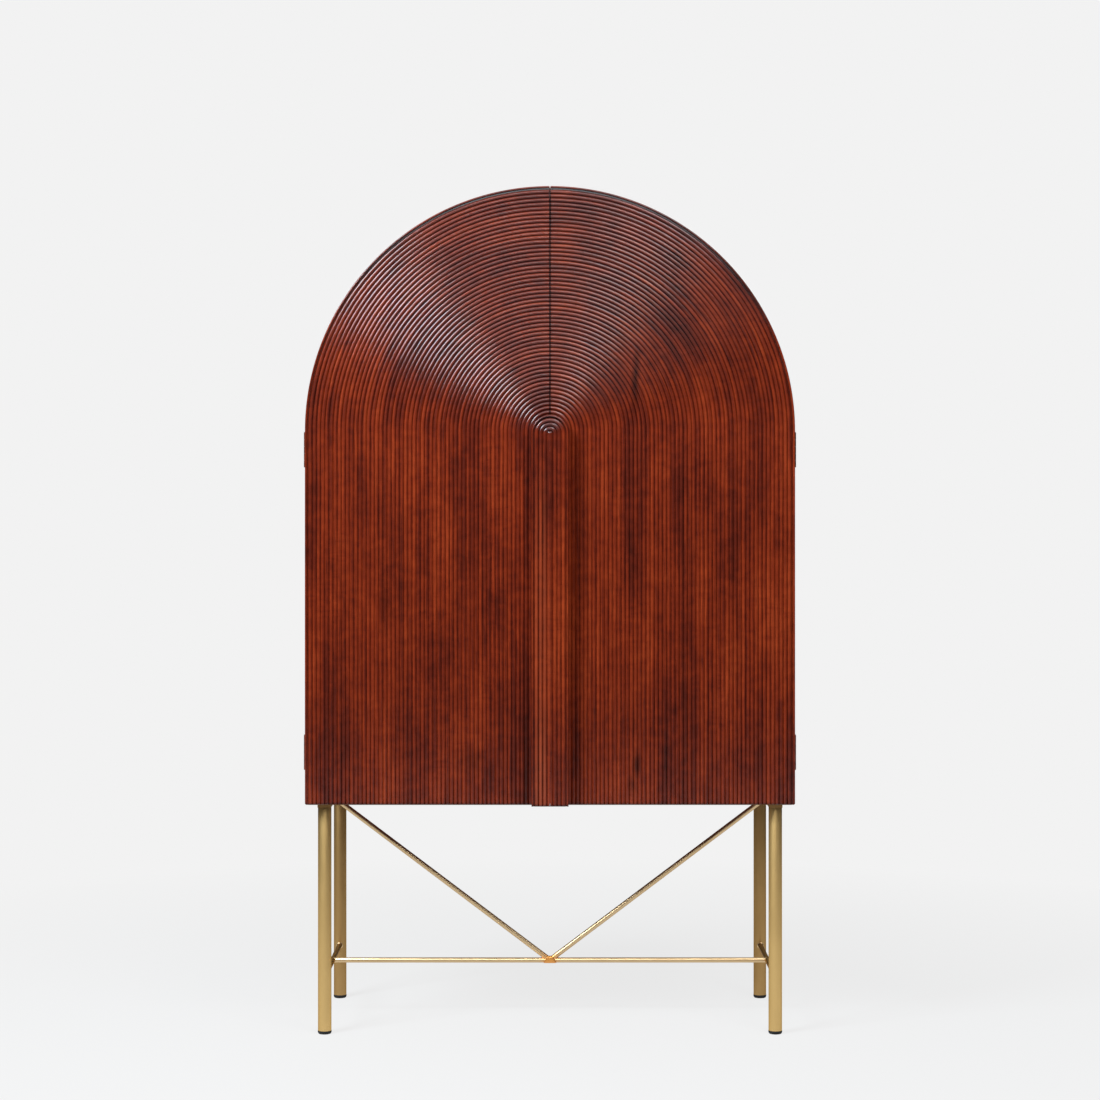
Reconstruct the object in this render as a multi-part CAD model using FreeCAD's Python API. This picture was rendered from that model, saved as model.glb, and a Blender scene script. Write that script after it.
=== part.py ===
# Arch-topped two-door cabinet: reeded wooden doors on a wooden carcass,
# carried by an underframe of brass tube and rod.
# Millimetres. X is the width, Y the depth with the doors facing -Y, Z is up.
# The origin is on the floor, at the middle of the overall width and depth.
import FreeCAD, Part
import math
import os

V = FreeCAD.Vector

# Overall sizes
cabinet_width = 920.0
carcass_depth = 376.0
leg_space_height = 436.5
straight_height = 701.5

# Working allowances
overrun = 5.0
screw_clearance = 0.05
dowel_clearance = 0.1
weld_gap = 0.1

# Carcass boards
side_thickness = 20.0
arch_thickness = 20.0
bottom_thickness = 20.0
back_thickness = 6.0
back_rabbet_width = 10.0
back_fit = 0.3
foot_corner_radius = 4.0
spline_thickness = 6.0
spline_reach = 11.0
spline_end_inset = 20.0
spline_fit = 0.1

# Shelves and wall rail
fixed_shelf_thickness = 20.0
fixed_shelf_drop = 10.0
fixed_shelf_setback = 2.0
loose_shelf_thickness = 18.0
loose_shelf_setback = 12.0
loose_shelf_fit = 1.0
loose_shelf_names = ("lower_shelf", "upper_shelf")
wall_rail_height = 60.0
wall_rail_thickness = 18.0
wall_hole_spacing = 600.0
wall_hole_radius = 3.0
wall_hole_back_clearance = 1.5

# Shelf pins
pin_peg_radius = 2.5
pin_peg_length = 10.0
pin_collar_radius = 4.0
pin_collar_thickness = 1.5
pin_rest_length = 9.0
pin_edge_inset = 50.0
pin_fit = 0.1

# Dowels in the carcass joints
dowel_radius = 4.0
dowel_depth_in_side = 12.0
dowel_depth_in_board = 22.0
dowel_end_inset = 45.0
dowels_per_joint = 5
rail_dowel_offset = 15.0

# Doors
door_thickness = 22.0
door_back_gap = 2.0
door_meeting_gap = 2.0
reed_pitch = 7.8
reed_depth = 3.2
rim_bead_width = 3.6
rim_bead_drop = 0.4
door_quirk_width = 2.8
reed_core_radius = 24.0
foot_ease = 2.5
seam_ease = 0.7

# Handle strip, half of it on each door
handle_width = 69.2
handle_projection = 26.0
handle_drop = 5.0
handle_quirk_width = 2.0
handle_meeting_gap = 0.8
handle_landing_depth = 0.4
handle_fit = 0.3
handle_screw_count = 4
handle_screw_end_inset = 60.0

# Butt hinges
hinge_height = 65.0
hinge_leaf_width = 19.0
hinge_leaf_thickness = 1.5
hinge_leaf_half_gap = 0.2
hinge_axis_outset = 0.4
hinge_barrel_radius = 3.4
hinge_pin_radius = 1.6
hinge_pin_clearance = 0.06
hinge_pin_head_radius = 2.9
hinge_pin_head_height = 1.2
hinge_knuckles = 5
hinge_knuckle_gap = 0.3
hinge_barrel_room = 0.4
hinge_mortise_fit = 0.15
hinge_top_below_spring = 2.5
hinge_foot_above_door_foot = 64.0
hinge_screw_spread = 22.0

# Magnetic catches under the fixed shelf, with a strike plate on each door
catch_length = 40.0
catch_height = 14.0
catch_depth = 24.0
catch_from_middle = 20.0
catch_front_setback = 1.0
magnet_length = 26.0
magnet_height = 6.0
magnet_depth = 10.0
magnet_fit = 0.1
catch_screw_spread = 14.0
strike_length = 30.0
strike_height = 12.0
strike_thickness = 1.5
strike_screw_spread = 10.0

# Screws: shank radius, length and head radius
hinge_screw_radius = 1.5
hinge_screw_length = 14.0
hinge_screw_head_radius = 2.8
handle_screw_radius = 2.0
handle_screw_length = 35.0
handle_screw_head_radius = 4.0
back_screw_radius = 1.75
back_screw_length = 18.0
back_screw_head_radius = 3.4
frame_screw_radius = 2.5
frame_screw_length = 22.0
frame_screw_head_radius = 4.8
small_screw_radius = 1.4
small_screw_length = 9.0
small_screw_head_radius = 2.5
screw_tip_share = 1.6
recess_width_share = 0.3
recess_length_share = 1.3
recess_depth_share = 0.6

# Rows of screws round the back panel
back_side_screws = 5
back_arch_screws = 7
back_foot_screws = 5
back_shelf_screws = 3
back_row_inset = 60.0

# Brass underframe
leg_radius = 12.7
leg_wall = 1.6
leg_side_inset = 34.0
leg_end_inset = 14.5
rail_width = 25.0
rail_thickness = 8.0
rod_radius = 5.0
rod_height = 107.5
brace_block_length = 27.4
brace_block_top_length = 15.0
brace_block_depth = 12.0
brace_block_rise = 8.5
brace_block_drop = 5.6

# Glides in the feet of the legs
glide_height = 4.2
glide_radius = 12.5
glide_edge_radius = 2.6
glide_stem_length = 20.0
glide_stem_fit = 0.1

# Places worked out from the sizes above
half_width = cabinet_width / 2
overall_depth = handle_projection + door_thickness + door_back_gap + carcass_depth
handle_front = -overall_depth / 2
door_front = handle_front + handle_projection
door_back = door_front + door_thickness
groove_level = door_front + reed_depth
landing_level = groove_level + handle_landing_depth
carcass_front = door_back + door_back_gap
carcass_back = carcass_front + carcass_depth
back_inner = carcass_back - back_thickness
foot_level = leg_space_height
spring_level = foot_level + straight_height
side_inner = half_width - side_thickness
floor_of_inside = foot_level + bottom_thickness
fixed_shelf_top = spring_level - fixed_shelf_drop
fixed_shelf_under = fixed_shelf_top - fixed_shelf_thickness
wall_rail_foot = fixed_shelf_under - wall_rail_height
wall_rail_middle = fixed_shelf_under - wall_rail_height / 2
wall_rail_front = back_inner - wall_rail_thickness
back_half_width = side_inner + back_rabbet_width

handle_half = handle_width / 2
handle_centre_level = spring_level - handle_drop
handle_middle = handle_half / 2

hinge_axis_x = half_width + hinge_axis_outset
hinge_axis_y = carcass_front - door_back_gap / 2
upper_hinge_foot = spring_level - hinge_top_below_spring - hinge_height
lower_hinge_foot = foot_level + hinge_foot_above_door_foot
barrel_room_radius = hinge_barrel_radius + hinge_barrel_room
knuckle_bore_radius = hinge_pin_radius + hinge_pin_clearance

leg_x = half_width - leg_side_inset
leg_front_y = carcass_front + leg_end_inset
leg_rear_y = carcass_back - leg_end_inset
leg_middle_y = (leg_front_y + leg_rear_y) / 2
rail_under = foot_level - rail_thickness
magnet_front = door_back + strike_thickness + (door_back_gap - strike_thickness) / 2

parts = {}
cutters = {}


def block(low, high):
    """A box between two corners."""
    return Part.makeBox(high[0] - low[0], high[1] - low[1], high[2] - low[2], V(*low))


def bar(radius, start, end):
    """A round bar between two points."""
    return Part.makeCylinder(radius, (end - start).Length, start, end - start)


def mirrored(shape):
    """The same piece on the other side of the cabinet."""
    return shape.mirror(V(0, 0, 0), V(1, 0, 0))


def steps(first, last, count):
    """Evenly spaced places from first to last."""
    return [first + (last - first) * i / (count - 1) for i in range(count)]


def between(places):
    """The places halfway between neighbours."""
    return [(low + high) / 2 for low, high in zip(places, places[1:])]


def prism(points, run):
    """A straight-sided solid from a closed outline and the vector it runs along."""
    return Part.Face(Part.makePolygon(points + points[:1])).extrude(run)


def arched_plate(half, foot, spring, front, thickness):
    """A board in the cabinet's outline: straight sides and a round top."""
    left, right = V(-half, front, spring), V(half, front, spring)
    foot_left, foot_right = V(-half, front, foot), V(half, front, foot)
    edges = [
        Part.makeLine(foot_left, foot_right),
        Part.makeLine(foot_right, right),
        Part.Arc(right, V(0, front, spring + half), left).toShape(),
        Part.makeLine(left, foot_left),
    ]
    return Part.Face(Part.Wire(edges)).extrude(V(0, thickness, 0))


def corner_round(corner_x, corner_z, radius, front, back):
    """What is taken off the lower outer corner of a board at +X."""
    centre_x, centre_z = corner_x - radius, corner_z + radius
    waste = block(
        (centre_x, front - overrun, corner_z - overrun),
        (corner_x + overrun, back + overrun, centre_z),
    )
    keep = bar(radius, V(centre_x, front - overrun, centre_z), V(centre_x, back + overrun, centre_z))
    return waste.cut(keep)


def cut_from(name, *shapes):
    """Notes what is to be cut from a piece."""
    cutters.setdefault(name, []).extend(shapes)


def screw(head, direction, radius, length, head_radius):
    """A countersunk screw with a cross recess, and the hole that takes it."""
    along = V(direction)
    along.normalize()
    sink = head_radius - radius
    tip = radius * screw_tip_share
    neck = head + along * sink
    shank_end = head + along * (length - tip)
    cone = Part.makeCone(head_radius, radius, sink, head, along)
    point = Part.makeCone(radius, 0, tip, shank_end, along)
    body = cone.fuse([bar(radius, neck, shank_end), point])
    slot = Part.makeBox(
        head_radius * recess_length_share,
        head_radius * recess_width_share,
        sink * recess_depth_share + overrun,
        V(-head_radius * recess_length_share / 2, -head_radius * recess_width_share / 2, -overrun),
    )
    other = slot.copy()
    other.rotate(V(0, 0, 0), V(0, 0, 1), 90)
    turn = FreeCAD.Rotation(V(0, 0, 1), along)
    for cutter in (slot, other):
        cutter.Placement = FreeCAD.Placement(head, turn).multiply(cutter.Placement)
    body = body.cut([slot, other])
    wide = screw_clearance
    mouth = head - along * overrun
    hole = Part.makeCone(head_radius + wide, radius + wide, sink, head, along)
    hole = hole.fuse([
        bar(head_radius + wide, mouth, head),
        bar(radius + wide, neck, head + along * (length + wide)),
    ])
    return body, hole


def dowel_rows():
    """Where the dowels stand along the depth of a board."""
    return steps(carcass_front + dowel_end_inset, back_inner - dowel_end_inset, dowels_per_joint)


def reed_edges(radii, groove, crest):
    """Half-round reeds between neighbouring radii, from the outside inwards."""
    edges = []
    for outer, inner in zip(radii, radii[1:]):
        middle = V((outer + inner) / 2, crest, 0)
        edges.append(Part.Arc(V(outer, groove, 0), middle, V(inner, groove, 0)).toShape())
    return edges


def rim_edges(half, front, groove, quirk):
    """A bead along the outer edge of a reeded face, and the flat quirk beside it."""
    radius = rim_bead_width / 2
    level = front + rim_bead_drop + radius
    outer, crest = V(half, level, 0), V(half - radius, level - radius, 0)
    inner = V(half - rim_bead_width, level, 0)
    foot = V(half - rim_bead_width, groove, 0)
    return [
        Part.Arc(outer, crest, inner).toShape(),
        Part.makeLine(inner, foot),
        Part.makeLine(foot, V(half - rim_bead_width - quirk, groove, 0)),
    ]


def swept_half(edges, centre, foot):
    """A profile in X and Y, run up from the foot and turned over the top a quarter turn."""
    face = Part.Face(Part.Wire(edges))
    face.translate(V(0, 0, centre))
    straight = face.extrude(V(0, 0, foot - centre))
    turned = face.revolve(V(0, 0, centre), V(0, -1, 0), 90)
    return straight.fuse(turned)


def foot_wedge(front, ease):
    """What eases the lower front edge of a piece at +X."""
    points = [
        V(-overrun, front - overrun, foot_level + ease + overrun),
        V(-overrun, front + ease + overrun, foot_level - overrun),
        V(-overrun, front - overrun, foot_level - overrun),
    ]
    return prism(points, V(half_width + overrun * 2, 0, 0))


def seam_wedge(front, half_gap, ease, top):
    """What eases the edge of a piece at +X along the meeting line."""
    low = foot_level - overrun
    points = [
        V(half_gap - overrun, front - overrun, low),
        V(half_gap + ease + overrun, front - overrun, low),
        V(half_gap - overrun, front + ease + overrun, low),
    ]
    return prism(points, V(0, 0, top + overrun - low))


def make_door():
    """The right door: a board whose face is reeded round and down its outline."""
    last_groove = half_width - rim_bead_width - door_quirk_width
    count = int((last_groove - reed_core_radius) / reed_pitch)
    radii = [last_groove - reed_pitch * i for i in range(count + 1)]
    rim = rim_edges(half_width, door_front, groove_level, door_quirk_width)
    rim_side = rim[0].firstVertex().Point
    core = V(radii[-1], groove_level, 0)
    edges = [
        Part.makeLine(V(0, groove_level, 0), V(0, door_back, 0)),
        Part.makeLine(V(0, door_back, 0), V(half_width, door_back, 0)),
        Part.makeLine(V(half_width, door_back, 0), rim_side),
    ]
    edges += rim
    edges += reed_edges(radii, groove_level, door_front)
    edges.append(Part.makeLine(core, V(0, groove_level, 0)))
    board = swept_half(edges, spring_level, foot_level)
    top = spring_level + half_width
    half_gap = door_meeting_gap / 2
    seam = block(
        (-overrun, door_front - overrun, foot_level - overrun),
        (half_gap, door_back + overrun, top + overrun),
    )
    landing = arched_plate(
        handle_half + handle_fit, foot_level - overrun, handle_centre_level,
        door_front - overrun, landing_level - door_front + overrun,
    )
    cut_from(
        "right_door_panel", seam, landing,
        seam_wedge(door_front, half_gap, seam_ease, top),
        foot_wedge(door_front, foot_ease),
        corner_round(half_width, foot_level, foot_corner_radius, door_front, door_back),
    )
    parts["right_door_panel"] = board


def make_handle():
    """The right half of the handle strip, reeded like the door and round at its top."""
    last_groove = handle_half - rim_bead_width - handle_quirk_width
    count = math.ceil(last_groove / reed_pitch - 1)
    radii = [last_groove - reed_pitch * i for i in range(count + 1)]
    groove = handle_front + reed_depth
    rim = rim_edges(handle_half, handle_front, groove, handle_quirk_width)
    rim_side = rim[0].firstVertex().Point
    reed = Part.Arc(V(radii[-1], groove, 0), V(0, handle_front, 0), V(-radii[-1], groove, 0))
    half_reed = Part.Edge(reed, reed.FirstParameter, (reed.FirstParameter + reed.LastParameter) / 2)
    edges = [
        Part.makeLine(V(0, handle_front, 0), V(0, landing_level, 0)),
        Part.makeLine(V(0, landing_level, 0), V(handle_half, landing_level, 0)),
        Part.makeLine(V(handle_half, landing_level, 0), rim_side),
    ]
    edges += rim + reed_edges(radii, groove, handle_front)
    edges.append(half_reed)
    strip = swept_half(edges, handle_centre_level, foot_level)
    seam = block(
        (-overrun, handle_front - overrun, foot_level - overrun),
        (handle_meeting_gap / 2, landing_level + overrun, spring_level + handle_half),
    )
    cut_from("right_handle_half", seam, foot_wedge(handle_front, foot_ease))
    parts["right_handle_half"] = strip
    low = foot_level + handle_screw_end_inset
    high = handle_centre_level - handle_screw_end_inset / 2
    screws = []
    for level in steps(low, high, handle_screw_count):
        head = V(handle_middle, door_back, level)
        body, hole = screw(
            head, V(0, -1, 0), handle_screw_radius, handle_screw_length, handle_screw_head_radius
        )
        screws.append(body)
        cut_from("right_door_panel", hole)
        cut_from("right_handle_half", hole)
    parts["right_handle_screws"] = Part.makeCompound(screws)


def hinge_leaf(foot, side, own):
    """One leaf of a butt hinge; side is 1 towards the carcass and -1 towards the door."""
    near = hinge_axis_y + side * hinge_leaf_half_gap
    far = near + side * hinge_leaf_thickness
    low_y, high_y = min(near, far), max(near, far)
    room = hinge_barrel_radius + hinge_knuckle_gap
    plate = block(
        (hinge_axis_x - hinge_leaf_width, low_y, foot),
        (hinge_axis_x - room, high_y, foot + hinge_height),
    )
    step = hinge_height / hinge_knuckles
    pieces = []
    for index in own:
        low = foot + step * index + (hinge_knuckle_gap / 2 if index else 0)
        last = index == hinge_knuckles - 1
        high = foot + step * (index + 1) - (0 if last else hinge_knuckle_gap / 2)
        pieces.append(bar(hinge_barrel_radius, V(hinge_axis_x, hinge_axis_y, low),
                          V(hinge_axis_x, hinge_axis_y, high)))
        pieces.append(block(
            (hinge_axis_x - room - hinge_leaf_thickness, low_y, low),
            (hinge_axis_x - knuckle_bore_radius, high_y, high),
        ))
    bore = bar(knuckle_bore_radius, V(hinge_axis_x, hinge_axis_y, foot - overrun),
               V(hinge_axis_x, hinge_axis_y, foot + hinge_height + overrun))
    return plate.fuse(pieces).cut(bore)


def make_hinge(place, foot):
    """A butt hinge let into the door and the side panel at +X."""
    frame_leaf = "right_" + place + "_hinge_frame_leaf"
    door_leaf = "right_" + place + "_hinge_door_leaf"
    parts[frame_leaf] = hinge_leaf(foot, 1, range(0, hinge_knuckles, 2))
    parts[door_leaf] = hinge_leaf(foot, -1, range(1, hinge_knuckles, 2))
    pin = bar(hinge_pin_radius, V(hinge_axis_x, hinge_axis_y, foot),
              V(hinge_axis_x, hinge_axis_y, foot + hinge_height))
    cap = bar(hinge_pin_head_radius, V(hinge_axis_x, hinge_axis_y, foot + hinge_height),
              V(hinge_axis_x, hinge_axis_y, foot + hinge_height + hinge_pin_head_height))
    pin = pin.fuse(cap)
    parts.setdefault("hinge_pins", []).extend([pin, mirrored(pin)])
    for wood, leaf, side in (
        ("right_side_panel", frame_leaf, 1), ("right_door_panel", door_leaf, -1),
    ):
        near = hinge_axis_y
        far = hinge_axis_y + side * (hinge_leaf_half_gap + hinge_leaf_thickness)
        low_y, high_y = min(near, far), max(near, far)
        bottom, top = foot - hinge_mortise_fit, foot + hinge_height + hinge_mortise_fit
        mortise = block(
            (hinge_axis_x - hinge_leaf_width - hinge_mortise_fit, low_y, bottom),
            (half_width + overrun, high_y, top),
        )
        barrel_room = bar(
            barrel_room_radius,
            V(hinge_axis_x, hinge_axis_y, bottom - hinge_barrel_room),
            V(hinge_axis_x, hinge_axis_y, top + hinge_pin_head_height + hinge_barrel_room),
        )
        cut_from(wood, mortise, barrel_room)
        screw_x = hinge_axis_x - (hinge_leaf_width + barrel_room_radius) / 2
        middle = foot + hinge_height / 2
        for level in (middle - hinge_screw_spread, middle, middle + hinge_screw_spread):
            head = V(screw_x, hinge_axis_y + side * hinge_leaf_half_gap, level)
            body, hole = screw(
                head, V(0, side, 0), hinge_screw_radius, hinge_screw_length,
                hinge_screw_head_radius,
            )
            if side == 1:
                parts.setdefault("hinge_frame_screws", []).extend([body, mirrored(body)])
            else:
                parts.setdefault("right_hinge_door_screws", []).append(body)
            cut_from(wood, hole)
            cut_from(leaf, hole)


def make_catch():
    """A magnetic catch under the fixed shelf at +X, and its strike plate on the door."""
    near = catch_from_middle
    far = near + catch_length
    middle = (near + far) / 2
    top = fixed_shelf_under
    front = carcass_front + fixed_shelf_setback + catch_front_setback
    case = block((near, front, top - catch_height), (far, front + catch_depth, top))
    level = top - catch_height / 2
    reach, rise = magnet_length / 2, magnet_height / 2
    magnet = block(
        (middle - reach, magnet_front, level - rise),
        (middle + reach, front + magnet_depth, level + rise),
    )
    pocket = block(
        (middle - reach - magnet_fit, front - overrun, level - rise - magnet_fit),
        (middle + reach + magnet_fit, front + magnet_depth, level + rise + magnet_fit),
    )
    cut_from("right_catch_case", pocket)
    parts["right_catch_case"] = case
    parts["right_catch_magnet"] = magnet
    strike = block(
        (middle - strike_length / 2, door_back, level - strike_height / 2),
        (middle + strike_length / 2, door_back + strike_thickness, level + strike_height / 2),
    )
    parts["right_strike_plate"] = strike
    screw_y = front + (magnet_depth + catch_depth) / 2
    for offset in (-catch_screw_spread, catch_screw_spread):
        head = V(middle + offset, screw_y, top - catch_height)
        body, hole = screw(
            head, V(0, 0, 1), small_screw_radius, catch_height + small_screw_length,
            small_screw_head_radius,
        )
        parts.setdefault("catch_screws", []).extend([body, mirrored(body)])
        cut_from("right_catch_case", hole)
        cut_from("fixed_shelf", hole, mirrored(hole))
    for offset in (-strike_screw_spread, strike_screw_spread):
        head = V(middle + offset, door_back + strike_thickness, level)
        body, hole = screw(
            head, V(0, -1, 0), small_screw_radius, small_screw_length, small_screw_head_radius
        )
        parts.setdefault("right_strike_screws", []).append(body)
        cut_from("right_strike_plate", hole)
        cut_from("right_door_panel", hole)


def make_carcass():
    """Side panels, bent top, bottom, back, fixed shelf and wall rail."""
    parts["right_side_panel"] = block(
        (side_inner, carcass_front, foot_level), (half_width, carcass_back, spring_level)
    )
    rabbet_front = back_inner
    cut_from(
        "right_side_panel",
        block(
            (side_inner - overrun, rabbet_front, foot_level - overrun),
            (back_half_width, carcass_back + overrun, spring_level + overrun),
        ),
        corner_round(half_width, foot_level, foot_corner_radius, carcass_front, carcass_back),
    )
    section = Part.makePolygon([
        V(half_width - arch_thickness, carcass_front, spring_level),
        V(half_width, carcass_front, spring_level),
        V(half_width, carcass_back, spring_level),
        V(back_half_width, carcass_back, spring_level),
        V(back_half_width, rabbet_front, spring_level),
        V(half_width - arch_thickness, rabbet_front, spring_level),
        V(half_width - arch_thickness, carcass_front, spring_level),
    ])
    centre = V(0, 0, spring_level)
    parts["arch_top_panel"] = Part.Face(section).revolve(centre, V(0, -1, 0), 180)
    spline_x = half_width - side_thickness / 2
    spline_front = carcass_front + spline_end_inset
    spline_back = back_inner - spline_end_inset
    spline = block(
        (spline_x - spline_thickness / 2, spline_front, spring_level - spline_reach),
        (spline_x + spline_thickness / 2, spline_back, spring_level + spline_reach),
    )
    groove = block(
        (spline_x - spline_thickness / 2 - spline_fit, spline_front - spline_fit,
         spring_level - spline_reach - spline_fit),
        (spline_x + spline_thickness / 2 + spline_fit, spline_back + spline_fit,
         spring_level + spline_reach + spline_fit),
    )
    parts["arch_splines"] = Part.makeCompound([spline, mirrored(spline)])
    cut_from("right_side_panel", groove)
    cut_from("arch_top_panel", groove, mirrored(groove))
    parts["bottom_panel"] = block(
        (-side_inner, carcass_front, foot_level), (side_inner, back_inner, floor_of_inside)
    )
    parts["fixed_shelf"] = block(
        (-side_inner, carcass_front + fixed_shelf_setback, fixed_shelf_under),
        (side_inner, back_inner, fixed_shelf_top),
    )
    parts["wall_rail"] = block(
        (-side_inner, wall_rail_front, wall_rail_foot), (side_inner, back_inner, fixed_shelf_under)
    )
    parts["back_panel"] = arched_plate(
        back_half_width - back_fit, foot_level, spring_level, back_inner, back_thickness
    )
    for x in (-wall_hole_spacing / 2, wall_hole_spacing / 2):
        start = V(x, wall_rail_front - overrun, wall_rail_middle)
        end = V(x, carcass_back + overrun, wall_rail_middle)
        cut_from("wall_rail", bar(wall_hole_radius, start, end))
        cut_from("back_panel", bar(wall_hole_radius + wall_hole_back_clearance, start, end))


def make_dowels():
    """Dowels that join the bottom, fixed shelf and wall rail to the side panels."""
    places = []
    for y in dowel_rows():
        places.append(("bottom_panel", y, foot_level + bottom_thickness / 2))
        places.append(("fixed_shelf", y, fixed_shelf_under + fixed_shelf_thickness / 2))
    rail_y = back_inner - wall_rail_thickness / 2
    for level in (wall_rail_middle - rail_dowel_offset, wall_rail_middle + rail_dowel_offset):
        places.append(("wall_rail", rail_y, level))
    dowels = []
    for board, y, level in places:
        start = V(side_inner - dowel_depth_in_board, y, level)
        end = V(side_inner + dowel_depth_in_side, y, level)
        slack = V(dowel_clearance, 0, 0)
        dowel = bar(dowel_radius, start, end)
        hole = bar(dowel_radius + dowel_clearance, start - slack, end + slack)
        dowels += [dowel, mirrored(dowel)]
        cut_from("right_side_panel", hole)
        cut_from(board, hole, mirrored(hole))
    parts["carcass_dowels"] = Part.makeCompound(dowels)


def make_loose_shelves():
    """Shelves that rest on pins in the side panels, evenly spaced below the fixed shelf."""
    count = len(loose_shelf_names)
    space = (fixed_shelf_under - floor_of_inside - count * loose_shelf_thickness) / (count + 1)
    front = carcass_front + loose_shelf_setback
    back = back_inner - loose_shelf_fit
    half = side_inner - loose_shelf_fit
    pins = []
    for index, name in enumerate(loose_shelf_names):
        under = floor_of_inside + space * (index + 1) + loose_shelf_thickness * index
        parts[name] = block((-half, front, under), (half, back, under + loose_shelf_thickness))
        level = under - pin_peg_radius
        for y in (front + pin_edge_inset, back - pin_edge_inset):
            peg = bar(pin_peg_radius, V(side_inner - pin_rest_length, y, level),
                      V(side_inner + pin_peg_length, y, level))
            collar = bar(pin_collar_radius, V(side_inner - pin_collar_thickness, y, level),
                         V(side_inner, y, level))
            seat = bar(pin_collar_radius + pin_fit, V(side_inner - pin_collar_thickness - pin_fit, y, level),
                       V(side_inner, y, level))
            pin = peg.fuse(collar)
            pins += [pin, mirrored(pin)]
            cut_from("right_side_panel", bar(pin_peg_radius + pin_fit, V(side_inner - overrun, y, level),
                                             V(side_inner + pin_peg_length + pin_fit, y, level)))
            cut_from(name, seat, mirrored(seat))
    parts["shelf_pins"] = Part.makeCompound(pins)


def make_back_screws():
    """Screws through the back panel into the carcass boards."""
    ledge = side_inner + back_rabbet_width / 2
    places = []
    for z in steps(foot_level + back_row_inset, spring_level - back_row_inset / 2, back_side_screws):
        places.append(("right_side_panel", ledge, z))
    for angle in steps(0, 180, back_arch_screws + 2)[1:-1]:
        turn = math.radians(angle)
        places.append(("arch_top_panel", ledge * math.cos(turn), spring_level + ledge * math.sin(turn)))
    row = side_inner - back_row_inset
    for x in steps(-row, row, back_foot_screws):
        places.append(("bottom_panel", x, foot_level + bottom_thickness / 2))
    for x in steps(-row, row, back_shelf_screws):
        places.append(("fixed_shelf", x, fixed_shelf_top - fixed_shelf_thickness / 2))
    screws = []
    for board, x, z in places:
        body, hole = screw(
            V(x, carcass_back, z), V(0, -1, 0), back_screw_radius, back_screw_length,
            back_screw_head_radius,
        )
        screws.append(body)
        cut_from(board, hole)
        cut_from("back_panel", hole)
        if board == "right_side_panel":
            screws.append(mirrored(body))
            cut_from("back_panel", mirrored(hole))
    parts["back_screws"] = Part.makeCompound(screws)


def make_legs():
    """Tube legs, their glides, and the flat rails that carry the carcass."""
    for place, y in (("front", leg_front_y), ("rear", leg_rear_y)):
        foot, top = V(leg_x, y, glide_height), V(leg_x, y, rail_under)
        tube = bar(leg_radius, foot, top).cut(bar(leg_radius - leg_wall, foot, top))
        parts[place + "_right_leg"] = tube
        edge = glide_radius - glide_edge_radius
        quarter = math.sqrt(0.5)
        outline = [
            Part.makeLine(V(0, 0, 0), V(edge, 0, 0)),
            Part.Arc(
                V(edge, 0, 0),
                V(edge + glide_edge_radius * quarter, 0, glide_edge_radius * (1 - quarter)),
                V(glide_radius, 0, glide_edge_radius),
            ).toShape(),
            Part.makeLine(V(glide_radius, 0, glide_edge_radius), V(glide_radius, 0, glide_height)),
            Part.makeLine(V(glide_radius, 0, glide_height), V(0, 0, glide_height)),
            Part.makeLine(V(0, 0, glide_height), V(0, 0, 0)),
        ]
        disc = Part.Face(Part.Wire(outline)).revolve(V(0, 0, 0), V(0, 0, 1), 360)
        stem_radius = leg_radius - leg_wall - glide_stem_fit
        stem = bar(stem_radius, V(0, 0, glide_height), V(0, 0, glide_height + glide_stem_length))
        glide = disc.fuse(stem)
        glide.translate(V(leg_x, y, 0))
        parts[place + "_right_glide"] = glide
    front, back = leg_front_y - leg_radius, leg_rear_y + leg_radius
    parts["right_top_rail"] = block(
        (leg_x - rail_width / 2, front, rail_under), (leg_x + rail_width / 2, back, foot_level)
    )
    for y in between(dowel_rows()):
        head = V(leg_x, y, rail_under)
        body, hole = screw(
            head, V(0, 0, 1), frame_screw_radius, frame_screw_length, frame_screw_head_radius
        )
        parts.setdefault("frame_screws", []).extend([body, mirrored(body)])
        cut_from("right_top_rail", hole)
        cut_from("bottom_panel", hole, mirrored(hole))


def brace_junction(room):
    """The brazed block where the braces meet the cross rod, larger all round by the room."""
    front = leg_middle_y - brace_block_depth / 2 - room
    foot, top = rod_height - brace_block_drop - room, rod_height + brace_block_rise + room
    wide, narrow = brace_block_length / 2 + room, brace_block_top_length / 2 + room
    outline = [
        V(-wide, front, foot), V(wide, front, foot), V(wide, front, rod_height),
        V(narrow, front, top), V(-narrow, front, top), V(-wide, front, rod_height),
    ]
    return prism(outline, V(0, brace_block_depth + room * 2, 0))


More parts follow.
